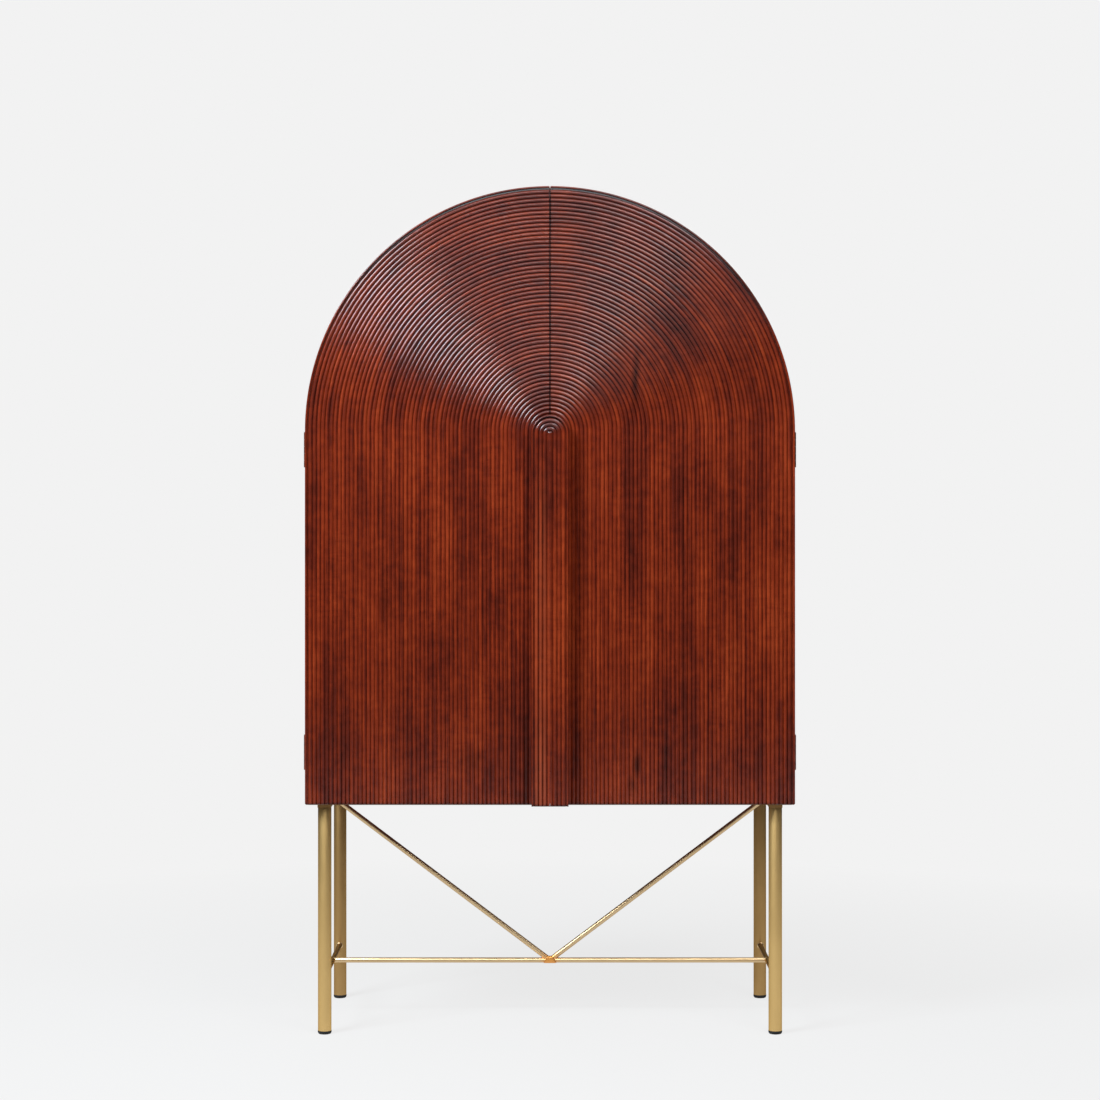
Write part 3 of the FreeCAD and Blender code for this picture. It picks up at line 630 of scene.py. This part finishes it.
def reed_stain(tree, colour, place, board, height, crest, rim):
    """Darkens the arch's grooves with stain and painted shade, paints shade over the arch towards its crown
    and along the foot, and paints a highlight on a few crests.
    """
    wood = bpy.context.scene.mahogany
    parts = add(tree, "SeparateXYZ", place).outputs
    depth = add(tree, "MapRange", parts["Y"], crest, crest + bpy.context.scene.reeding.depth, 0.0, 1.0)
    # Painted shade: the arch darkens towards its crown
    colour = tint(tree, colour, wood.groove, height, 0.2, 1.0, 0.0, 0.22)
    # Painted highlight: a few crests of the strip's left reeds are paled
    raised = add(tree, "MapRange", depth, 0.0, 0.6, 1.0, 0.0)
    for x, z, wide, high, most in PAINTED_HIGHLIGHTS:
        share = add(tree, "MapRange", from_spot(tree, place, x, z, wide, high), 0.6, 1.3, most, 0.0)
        share = add(tree, "Math", share, raised, operation="MULTIPLY")
        colour = add(tree, "Mix", share, colour, wood.highlighted, data_type="RGBA")

    # The arch's grooves darken with their depth, partly as stain that gathers there and partly as painted
    # shade; the outer bead is left out
    across = add(tree, "SeparateXYZ", board).outputs["X"]
    across = add(tree, "Math", across, operation="ABSOLUTE")
    inward = add(tree, "MapRange", across, rim - MM * 0.3, rim + MM * 0.3, 1.0, 0.0)
    groove_stain_and_shade = add(tree, "MapRange", height, 0.0, 0.8, 0.0, 0.92)
    groove_stain_and_shade = add(tree, "Math", groove_stain_and_shade, inward, operation="MULTIPLY")
    stain = add(tree, "Math", depth, 0.9, operation="POWER")
    stain = add(tree, "Math", stain, groove_stain_and_shade, operation="MULTIPLY")
    colour = add(tree, "Mix", stain, colour, wood.groove, data_type="RGBA")
    # Painted shade along the foot: the lowest few millimetres darken
    return tint(tree, colour, wood.groove, parts["Z"], FOOT + MM, FOOT + MM * 6, 0.6, 0.0)


def door_edges(tree, colour, place, facing, seam):
    """Paints shade on a door's front along the seam, and paints a reflection of the pale floor along its
    lower edge.
    """
    wood = bpy.context.scene.mahogany
    parts = add(tree, "SeparateXYZ", place).outputs
    # Painted shade on the front along the seam between the doors
    across = add(tree, "Math", parts["X"], operation="ABSOLUTE")
    share = add(tree, "MapRange", across, seam, seam + MM * 0.7, 1.0, 0.0)
    share = add(tree, "Math", share, facing, operation="MULTIPLY")
    colour = add(tree, "Mix", share, colour, wood.groove, data_type="RGBA")
    # Painted reflection of the pale floor along the lowest millimetre and a half of the door
    return tint(tree, colour, wood.arris_reflection, parts["Z"], FOOT + MM * 0.9, FOOT + MM * 1.5, 0.9, 0.0)


def stained_mahogany(name, spring=None, crest=None, rim=None, seam=None, shade=0.0, gloss=None, lying=False):
    """Stained mahogany under satin lacquer.

    The eye sees long streaks from orange-red to brown-black that follow the reeds, fine dark
    fibres and a few knots. In the arch the grooves darken with their depth, partly as stain that
    gathers where they cross the grain and partly as painted shade, and painted shade also darkens
    the arch towards its crown and along the foot. On the doors painted shade darkens the front along
    the seam, and a painted reflection of the pale floor lies along the lower edge. A painted
    highlight pales a few crests of the strip. The backs of reeded pieces have straight, upright
    grain, and boards that lie flat have theirs from side to side. The lacquer gives cool highlights.

    The spring is the height where the arch starts, and the crest is how far forward the reeds
    stand. The rim is where the outer bead starts, and the seam is half the gap of the doors.
    """
    wood, reed = bpy.context.scene.mahogany, bpy.context.scene.reeding
    material, tree = new_material(name)
    place = add(tree, "TexCoord").outputs["Object"]
    if lying:
        place = add(tree, "Mapping", place, inputs={"Rotation": (0.0, QUARTER, 0.0)})
    board = place
    if spring is not None:
        board, height = along_reeds(tree, place, spring)
    if crest is not None:
        back = crest + reed.depth + MM * 3
        deep = add(tree, "SeparateXYZ", place).outputs["Y"]
        behind = add(tree, "MapRange", deep, back, back + MM, 0.0, 1.0)
        facing = add(tree, "Math", 1.0, behind, operation="SUBTRACT")
        board = add(tree, "Mix", behind, board, place, data_type="RGBA")
        height = add(tree, "Math", height, facing, operation="MULTIPLY")
    colour, fibres = mahogany_grain(tree, place, board, shade)
    if crest is not None:
        colour = reed_stain(tree, colour, place, board, height, crest, rim)
        if seam is not None:
            colour = door_edges(tree, colour, place, facing, seam)
    bump = add(tree, "Bump", inputs={"Height": fibres, "Distance": MM * 0.08, "Strength": 0.5})
    shader = add(tree, "BsdfPrincipled", inputs={
        "Base Color": colour, "Roughness": wood.gloss if gloss is None else gloss,
        "Specular Tint": wood.sheen, "Normal": bump})
    add(tree, "OutputMaterial", shader)
    return material


def plain_beech(name):
    """Unfinished beech of dowels and splines: pale, with short dark flecks."""
    material, tree = new_material(name)
    place = add(tree, "TexCoord").outputs["Object"]
    flecks = clouds(tree, place, FLECK_SIZE, 3.0)
    colour = add(tree, "ValToRGB", flecks, stops=((0.40, linear("#A98058")), (0.62, linear("#D3B183"))))
    shader = add(tree, "BsdfPrincipled", inputs={"Base Color": colour, "Roughness": 0.6})
    add(tree, "OutputMaterial", shader)
    return material


# Finishes of metal, plastic and rubber

# Sizes of the duller patches on the brass, in metres
PATCH_SIZE = (0.045, 0.045, 0.120)


def brushed_brass(name, colour, roughness, along, worn=0.15, heat=False):
    """Brass, brushed along one axis and lacquered.

    The eye sees a warm satin tone, fine brush lines and duller patches, and just under the
    cabinet painted shade turns the metal browner. A rod with heat is polished smooth, so its
    brush lines show only in the gloss, and it has an orange tint where it was brazed.
    """
    metal = bpy.context.scene.metal
    material, tree = new_material(name)
    place = add(tree, "TexCoord").outputs["Object"]
    parts = add(tree, "SeparateXYZ", place).outputs
    patches = clouds(tree, place, PATCH_SIZE, 3.0)
    colour = tint(tree, colour, metal.aged, patches, 0.45, 0.75, 0.0, worn)
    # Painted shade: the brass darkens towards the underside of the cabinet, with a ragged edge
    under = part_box("left_top_rail")[0].z
    uneven = add(tree, "Math", patches, MM * 12, operation="MULTIPLY")
    under_shade_height = add(tree, "Math", parts["Z"], uneven, operation="ADD")
    colour = tint(tree, colour, metal.under_shade, under_shade_height, under - MM * 6, under + MM * 10, 0.0, 0.7)
    if heat:
        reach = add(tree, "Math", parts["X"], operation="ABSOLUTE")
        colour = tint(tree, colour, metal.braze, reach, MM * 6, MM * 22, 0.7, 0.0)
    line, long = metal.brushing, metal.brush_length
    sizes = {"X": (long, line, line), "Y": (line, long, line), "Z": (line, line, long)}[along]
    lines = clouds(tree, place, sizes, 2.0)
    bump = add(tree, "Bump", inputs={
        "Height": lines, "Distance": MM * 0.02, "Strength": 0.0 if heat else 0.3})
    gloss = add(tree, "MapRange", lines, 0.3, 0.7, roughness - 0.04, roughness + 0.05)
    shader = add(tree, "BsdfPrincipled", inputs={
        "Base Color": colour, "Metallic": 1.0, "Roughness": gloss, "Normal": bump,
        "Specular Tint": metal.rod_sheen if heat else metal.sheen})
    add(tree, "OutputMaterial", shader)
    return material


def speckled(name, colour, other, size, metallic, roughness, bump):
    """A finish whose two tones mix in speckles of one size, with a bump as deep as given.

    It stands for zinc plate, antique copper, moulded plastic, sintered ferrite and rubber, which
    the eye tells apart by tone, gloss and grain.
    """
    material, tree = new_material(name)
    place = add(tree, "TexCoord").outputs["Object"]
    grain = clouds(tree, place, (size, size, size), 3.0)
    colour = tint(tree, linear(colour), linear(other), grain, 0.40, 0.65, 0.0, 1.0)
    relief = add(tree, "Bump", inputs={"Height": grain, "Distance": bump, "Strength": 0.6})
    gloss = add(tree, "MapRange", grain, 0.35, 0.65, roughness - 0.04, roughness + 0.05)
    shader = add(tree, "BsdfPrincipled", inputs={
        "Base Color": colour, "Metallic": metallic, "Roughness": gloss, "Normal": relief})
    add(tree, "OutputMaterial", shader)
    return material


def dress(node, material):
    """Gives a node of the frame its finish."""
    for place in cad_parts[node].material_slots:
        place.material = material


def nodes_with(*words):
    """The frame's nodes whose names hold one of these words."""
    return [n for n in sorted(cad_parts) if any(word in n for word in words)]


class OBJECT_OT_cabinet_doors(bpy.types.Operator):
    """Builds the reeded doors"""

    bl_idname = "object.cabinet_doors"
    bl_label = "Doors"

    def execute(self, context):
        reed = context.scene.reeding
        material = stained_mahogany("mahogany_reeded", SPRING, DOOR_LOW.y,
                                    HALF_WIDTH - reed.bead, reed.door_gap / 2 + MM * 0.2)
        right = cut_pockets(door_shell(), door_pockets())
        left = mirrored(right, "left_reeded_door")
        for side, mesh in (("right", right), ("left", left)):
            tie_piece(side + "_reeded_door", mesh, side + "_door", material,
                      [side + "_door_panel"])
        return {"FINISHED"}


class OBJECT_OT_cabinet_strip(bpy.types.Operator):
    """Builds the two halves of the reeded handle strip"""

    bl_idname = "object.cabinet_strip"
    bl_label = "Handle strip"

    def execute(self, context):
        rim = STRIP_HIGH.x - context.scene.reeding.bead
        material = stained_mahogany("mahogany_strip", STRIP_SPRING, STRIP_LOW.y, rim, shade=0.005)
        shell = strip_shell()
        right = bpy.data.meshes.new("right_reeded_strip")
        shell.to_mesh(right)
        shell.free()
        left = mirrored(right, "left_reeded_strip")
        for side, mesh in (("right", right), ("left", left)):
            tie_piece(side + "_reeded_strip", mesh, side + "_door", material,
                      [side + "_handle_half"])
        return {"FINISHED"}


class OBJECT_OT_cabinet_carcass(bpy.types.Operator):
    """Builds the bent top and finishes the carcass"""

    bl_idname = "object.cabinet_carcass"
    bl_label = "Carcass"

    def execute(self, context):
        veneer = stained_mahogany("mahogany_veneer", SPRING, shade=0.02, gloss=0.36)
        low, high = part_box("arch_top_panel")
        inner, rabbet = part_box("right_side_panel")[0].x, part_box("back_panel")[0].y
        ledge, ease = (inner + HALF_WIDTH) / 2, MM * 0.6
        corners = ((HALF_WIDTH - ease, low.y), (HALF_WIDTH, low.y + ease), (HALF_WIDTH, high.y - ease),
                   (HALF_WIDTH - ease, high.y), (ledge, high.y), (ledge, rabbet), (inner, rabbet))
        shell = bmesh.new()
        first = last = shell.verts.new((inner, low.y, SPRING))
        for x, y in corners:
            last = run_on(shell, last, (x, y, SPRING))
        wire = close_wire(shell, first, last)
        bmesh.ops.spin(shell, geom=shell.verts[:] + wire, cent=(0, 0, SPRING), axis=(0, -1, 0),
                       angle=math.pi, steps=120)
        fill_open(shell)
        bmesh.ops.recalc_face_normals(shell, faces=shell.faces[:])
        make_piece("bent_arch_top", shell, "cabinet", veneer, ["arch_top_panel"])
        for node in nodes_with("side_panel"):
            dress(node, veneer)
        dress("back_panel", stained_mahogany("mahogany_inside", shade=-0.02, gloss=0.5))
        lying = stained_mahogany("mahogany_boards", shade=-0.02, gloss=0.5, lying=True)
        for node in nodes_with("shelf", "bottom_panel", "wall_rail"):
            if "pins" not in node:
                dress(node, lying)
        beech = plain_beech("beech_raw")
        for node in nodes_with("splines", "dowels"):
            dress(node, beech)
        return {"FINISHED"}


def leg_tube(low, high, centre):
    """One leg: a brass tube with eased ends."""
    under = bpy.context.scene.underframe
    radius = (high.x - low.x) / 2
    shell = bmesh.new()
    turned(shell, rounded(radius, low.z, high.z, under.tube_ease, radius - under.wall), centre)
    return shell


def foot_glide(low, high, centre, top):
    """One rubber glide: a rounded foot, a thin lip round the tube's end and a stem inside the tube."""
    under = bpy.context.scene.underframe
    radius = (high.x - low.x) / 2
    edge = under.glide - under.glide_edge
    foot = [(edge + under.glide_edge * math.sin(turn), under.glide_edge * (1 - math.cos(turn)))
            for turn in CORNER]
    lip, skin, stem = radius + under.glide_lip, radius + MM * 0.02, radius - under.wall - MM * 0.1
    lip_top, lip_end = low.z + MM * 1.9, low.z + MM * 2.2
    outline = [(0, 0)] + foot + [
        (lip, under.glide_edge + under.glide_lip), (lip, lip_top), (skin, lip_end), (skin, low.z),
        (stem, low.z), (stem, top), (0, top)]
    shell = bmesh.new()
    turned(shell, outline, centre)
    return shell


def side_bar(x, z, front, rear):
    """The rod between a front and a rear leg, which bites into both."""
    rod, bite = bpy.context.scene.underframe.rod, MM * 1.3
    shell = bmesh.new()
    turned(shell, rounded(rod, -bite, rear - front + bite, BAR_EASE), (x, front, z), (0, 1, 0), ROD_SIDES)
    return shell


def side_fillets(shell, x, z, front, rear, sign):
    """Adds the braze where a side rod meets its legs and the cross rod."""
    under = bpy.context.scene.underframe
    rod, fillet, inner = under.rod, under.fillet, under.rod - MM * 0.2
    ring = [(inner, 0), (rod + fillet, 0), (rod + fillet * 0.3, fillet * 0.3), (inner, fillet)]
    sunk = MM * 0.4
    turned(shell, ring, (x, front - sunk, z), (0, 1, 0), ROD_SIDES)
    turned(shell, ring, (x, rear + sunk, z), (0, -1, 0), ROD_SIDES)
    flank = x - sign * (rod - MM * 0.6)
    turned(shell, ring, (flank, (front + rear) / 2, z), (-sign, 0, 0), ROD_SIDES)


def brace_bar(foot, top, sign):
    """One rod of the V, from the cross rod up to a side of the frame."""
    rod = bpy.context.scene.underframe.rod
    reach = top - foot
    beyond = rod * 4
    shell = bmesh.new()
    turned(shell, rounded(rod, -beyond, reach.length + beyond, BAR_EASE), foot, reach, ROD_SIDES)
    cut_off(shell, (0, 0, top.z), (0, 0, -1))
    cut_off(shell, (0, 0, 0), (sign, 0, 0))
    bmesh.ops.recalc_face_normals(shell, faces=shell.faces[:])
    return shell


def cross_bar(low, high):
    """The rod between the two side rods."""
    rod = bpy.context.scene.underframe.rod
    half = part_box("right_side_rod")[0].x + rod
    middle = (0, (low.y + high.y) / 2, (low.z + high.z) / 2)
    shell = bmesh.new()
    turned(shell, rounded(rod, -half, half, BAR_EASE), middle, (1, 0, 0), ROD_SIDES)
    return shell


def braze_lump(low, high):
    """The lump of braze at the foot of the V, wide and round below and narrow above."""
    rod = bpy.context.scene.underframe.rod
    shell = bmesh.new()
    box_between(shell, low, high)
    bmesh.ops.subdivide_edges(shell, edges=shell.edges[:], cuts=7, use_grid_fill=True)
    for _ in range(5):
        bmesh.ops.smooth_vert(shell, verts=shell.verts[:], factor=0.5, use_axis_x=True,
                              use_axis_y=True, use_axis_z=True)
    middle = (low + high) / 2
    foot, crown = min(v.co.z for v in shell.verts), max(v.co.z for v in shell.verts)
    axis = (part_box("cross_rod")[0].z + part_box("cross_rod")[1].z) / 2
    foot_width, narrowing, swell, sunk = 1.1, 0.62, 1.08, MM * 0.4
    for vertex in shell.verts:
        rise = (vertex.co.z - foot) / (crown - foot)
        vertex.co.x *= foot_width - narrowing * rise ** 0.7
        vertex.co.y = middle.y + (vertex.co.y - middle.y) * swell
        vertex.co.z = axis - rod - sunk + rise * (high.z - axis + rod - sunk)
    bmesh.ops.recalc_face_normals(shell, faces=shell.faces[:])
    return shell


class OBJECT_OT_cabinet_underframe(bpy.types.Operator):
    """Builds the brass tubes, rods, braze and glides"""

    bl_idname = "object.cabinet_underframe"
    bl_label = "Underframe"

    def execute(self, context):
        metal = context.scene.metal
        polished = brushed_brass("brass_brushed", metal.brass, 0.45, "Z")
        # Painted shade: the rear legs take a darker, more patched copy of the brass
        shaded_rear_legs = brushed_brass("brass_rear_shaded", metal.rear, 0.46, "Z", worn=0.5)
        # Painted highlight: the rods take a paler brass than the legs
        across = brushed_brass("brass_rod_satin", metal.rods, 0.38, "X", worn=0.1, heat=True)
        # Painted shade: the side rods and top rails take the darker copy too
        deep = brushed_brass("brass_rod_shaded", metal.rear, 0.40, "Y", worn=0.5)
        braze = brushed_brass("braze_metal", metal.braze, 0.42, "X", worn=0.1)
        # Moulded rubber is near black and matt, with a fine grain
        rubber = speckled("rubber_moulded", "#070707", "#121211", MM, 0.0, 0.75, MM * 0.05)
        for corner in ("front_left", "front_right", "rear_left", "rear_right"):
            low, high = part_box(corner + "_leg")
            centre = ((low.x + high.x) / 2, (low.y + high.y) / 2, 0)
            make_piece(corner + "_tube", leg_tube(low, high, centre), "cabinet",
                       polished if "front" in corner else shaded_rear_legs, [corner + "_leg"])
            glide = foot_glide(low, high, centre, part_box(corner + "_glide")[1].z)
            make_piece(corner + "_foot_glide", glide, "cabinet", rubber, [corner + "_glide"])
        fillets = bmesh.new()
        for side, sign in (("left", -1), ("right", 1)):
            low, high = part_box(side + "_side_rod")
            x, z = (low.x + high.x) / 2, (low.z + high.z) / 2
            front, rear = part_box("front_" + side + "_leg")[1].y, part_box("rear_" + side + "_leg")[0].y
            bar = side_bar(x, z, front, rear)
            make_piece(side + "_side_bar", bar, "cabinet", deep, [side + "_side_rod"])
            side_fillets(fillets, x, z, front, rear, sign)
            low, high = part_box(side + "_brace_rod")
            foot = Vector((0, (low.y + high.y) / 2, z))
            bar = brace_bar(foot, Vector((x, foot.y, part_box(side + "_top_rail")[0].z)), sign)
            make_piece(side + "_brace_bar", bar, "cabinet", across, [side + "_brace_rod"])
        bar = cross_bar(*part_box("cross_rod"))
        make_piece("cross_bar", bar, "cabinet", across, ["cross_rod"])
        make_piece("braze_fillets", fillets, "cabinet", across)
        lump = braze_lump(*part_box("brace_block"))
        make_piece("braze_joint", lump, "cabinet", braze, ["brace_block"])
        # The top rails take the darker brass as painted shade
        for node in nodes_with("top_rail"):
            dress(node, deep)
        return {"FINISHED"}


class OBJECT_OT_cabinet_fittings(bpy.types.Operator):
    """Finishes hinges, screws, pins and catches"""

    bl_idname = "object.cabinet_fittings"
    bl_label = "Fittings"

    def execute(self, context):
        # Zinc plate on steel is pale and bright, and faintly clouded
        zinc = speckled("steel_zinc", "#A9ABA8", "#C6C7C2", MM * 2, 1.0, 0.36, MM * 0.01)
        # Antique copper is a warm brown metal, lighter in patches where it is handled
        copper = speckled("copper_antique", "#7A3520", "#94492E", MM * 4, 1.0, 0.5, MM * 0.02)
        # Moulded plastic is dark brown, with the fine matt grain of its mould
        plastic = speckled("plastic_moulded", "#2A1A14", "#33211A", MM * 0.6, 0.0, 0.5, MM * 0.04)
        # Sintered ferrite is a dull dark grey with a gritty surface
        ferrite = speckled("ferrite_sintered", "#27272A", "#3A3A3D", MM * 0.9, 0.2, 0.6, MM * 0.03)
        for node in nodes_with("screws", "shelf_pins", "strike_plate"):
            dress(node, zinc)
        # The hinges come later, because their screws are copper and not zinc
        for node in nodes_with("leaf", "hinge_pins", "hinge_frame_screws", "hinge_door_screws"):
            dress(node, copper)
        for node in nodes_with("catch_case"):
            dress(node, plastic)
        for node in nodes_with("magnet"):
            dress(node, ferrite)
        return {"FINISHED"}


def stage_object(name, shell, material):
    """Makes an object of a shell that isn't part of the cabinet."""
    mesh = bpy.data.meshes.new(name)
    shell.to_mesh(mesh)
    shell.free()
    mesh.materials.append(material)
    made = bpy.data.objects.new(name, mesh)
    bpy.context.scene.collection.objects.link(made)
    return made


def shown_rays(tree):
    """One for rays from the camera and for those that gloss or glass sends on, and nothing for the rest."""
    ray = add(tree, "LightPath").outputs
    shown = add(tree, "Math", ray["Is Camera Ray"], ray["Is Glossy Ray"], operation="MAXIMUM")
    return add(tree, "Math", shown, ray["Is Transmission Ray"], operation="MAXIMUM")


def ground_paper():
    """Pale matt paper: near the cabinet it holds a soft shadow, and further off it is an even tone."""
    stage = bpy.context.scene.stage
    material, tree = new_material("ground_paper")
    shown = shown_rays(tree)
    far = add(tree, "TexCoord").outputs["Object"]
    far = add(tree, "VectorMath", far, operation="LENGTH")
    far = add(tree, "MapRange", far, stage.shadow_near, stage.shadow_far, 0.0, 1.0)
    glow = add(tree, "Emission", inputs={"Color": stage.ground, "Strength": 0.88})
    lit = add(tree, "BsdfDiffuse", inputs={"Color": linear("#505050")})
    near = add(tree, "AddShader", glow, lit)
    plain = add(tree, "Emission", inputs={"Color": stage.ground, "Strength": 1.0})
    seen = add(tree, "MixShader", far, near, plain)
    other = add(tree, "BsdfDiffuse", inputs={"Color": linear("#7C7C7C")})
    mix = add(tree, "MixShader", shown, other, seen)
    add(tree, "OutputMaterial", mix)
    return material


def curtain_cloth():
    """Black matt cloth, which takes the light that would grey the lacquer."""
    material, tree = new_material("curtain_cloth")
    cloth = add(tree, "BsdfDiffuse", inputs={"Color": linear("#303030")})
    add(tree, "OutputMaterial", cloth)
    return material


def light_world():
    """A world that is pale where it is seen, and gives a faint cool light."""
    scene = bpy.context.scene
    world = bpy.data.worlds.new("studio")
    scene.world = world
    world.use_nodes = True
    tree = world.node_tree
    tree.nodes.clear()
    shown = shown_rays(tree)
    faint = add(tree, "Background", inputs={"Color": linear("#F1F9FF"), "Strength": 0.5})
    pale = add(tree, "Background", inputs={"Color": scene.stage.ground, "Strength": 1.0})
    mix = add(tree, "MixShader", shown, faint, pale)
    add(tree, "OutputWorld", mix)


def area_lamp(name, towards, width, height, power, colour="#FFFFFF"):
    """A soft lamp that faces the middle of the doors from a direction and isn't seen by the camera."""
    data = bpy.data.lights.new(name, "AREA")
    data.shape = "RECTANGLE"
    data.size = width
    data.size_y = height
    data.energy = power
    data.color = linear(colour)[:3]
    lamp = bpy.data.objects.new(name, data)
    middle = Vector((0.0, DOOR_LOW.y, 1.0))
    lamp.location = middle + Vector(towards).normalized() * bpy.context.scene.stage.lamp_distance
    lamp.rotation_euler = (-Vector(towards)).to_track_quat("-Z", "Y").to_euler()
    lamp.visible_camera = False
    bpy.context.scene.collection.objects.link(lamp)


class OBJECT_OT_cabinet_stage(bpy.types.Operator):
    """Sets up the floor, the light and the camera"""

    bl_idname = "object.cabinet_stage"
    bl_label = "Stage"

    def execute(self, context):
        scene = context.scene
        stage = scene.stage
        scene.view_settings.view_transform = "Standard"
        shell = bmesh.new()
        bmesh.ops.create_grid(shell, x_segments=1, y_segments=1, size=stage.floor_half)
        floor = stage_object("floor", shell, ground_paper())

        shell = bmesh.new()
        foot = MM * 2
        first = shell.verts.new((stage.curtain_near, 0, foot))
        last = run_on(shell, first, (stage.curtain_far, 0, foot))
        run_on(shell, last, (stage.curtain_far, 0, stage.curtain_height))
        bmesh.ops.spin(shell, geom=shell.verts[:] + shell.edges[:], cent=(0, 0, 0), axis=(0, 0, 1),
                       angle=FULL, steps=48, use_merge=True)
        curtain = stage_object("curtain", shell, curtain_cloth())
        curtain.visible_camera = False

        light_world()
        area_lamp("key", (-0.60, -0.55, 0.58), 1.3, 1.3, 190.0, "#EFF8FF")
        area_lamp("overhead", (0.35, -0.60, 0.70), 1.4, 1.0, 60.0)
        area_lamp("front", (0.0, -0.90, 0.40), 1.4, 1.0, 36.0)

        data = bpy.data.cameras.new("camera")
        data.sensor_width = SENSOR_WIDTH
        data.lens = LENS
        data.shift_y = FRAME_SHIFT
        camera = bpy.data.objects.new("camera", data)
        camera.location = (0.0, DOOR_LOW.y - stage.distance, stage.eye_height)
        camera.rotation_euler = (QUARTER, 0.0, 0.0)
        scene.collection.objects.link(camera)
        scene.camera = camera
        return {"FINISHED"}


class VIEW3D_PT_cabinet(bpy.types.Panel):
    """Lists the pieces of the cabinet"""

    bl_idname = "VIEW3D_PT_cabinet"
    bl_label = "Cabinet"
    bl_space_type = "VIEW_3D"
    bl_region_type = "UI"
    bl_category = "Cabinet"

    def draw(self, context):
        for operator in OPERATORS:
            self.layout.operator(operator.bl_idname)


GROUPS = {
    "reeding": ReedSettings, "underframe": UnderframeSettings, "mahogany": MahoganySettings,
    "metal": MetalSettings, "stage": StageSettings,
}
OPERATORS = (
    OBJECT_OT_cabinet_stage, OBJECT_OT_cabinet_doors, OBJECT_OT_cabinet_strip, OBJECT_OT_cabinet_carcass,
    OBJECT_OT_cabinet_underframe, OBJECT_OT_cabinet_fittings,
)


def register():
    """Registers the settings, the operators and the panel."""
    for group in GROUPS.values():
        bpy.utils.register_class(group)
    for operator in OPERATORS:
        bpy.utils.register_class(operator)
    bpy.utils.register_class(VIEW3D_PT_cabinet)
    for name, group in GROUPS.items():
        setattr(bpy.types.Scene, name, bpy.props.PointerProperty(type=group))


def unregister():
    """Takes back what register added."""
    for name in GROUPS:
        delattr(bpy.types.Scene, name)
    for kind in (VIEW3D_PT_cabinet, *OPERATORS, *GROUPS.values()):
        bpy.utils.unregister_class(kind)


def main():
    """Builds the cabinet's looks."""
    register()
    bpy.ops.object.cabinet_stage()
    bpy.ops.object.cabinet_doors()
    bpy.ops.object.cabinet_strip()
    bpy.ops.object.cabinet_carcass()
    bpy.ops.object.cabinet_underframe()
    bpy.ops.object.cabinet_fittings()


if __name__ == "__main__":
    main()
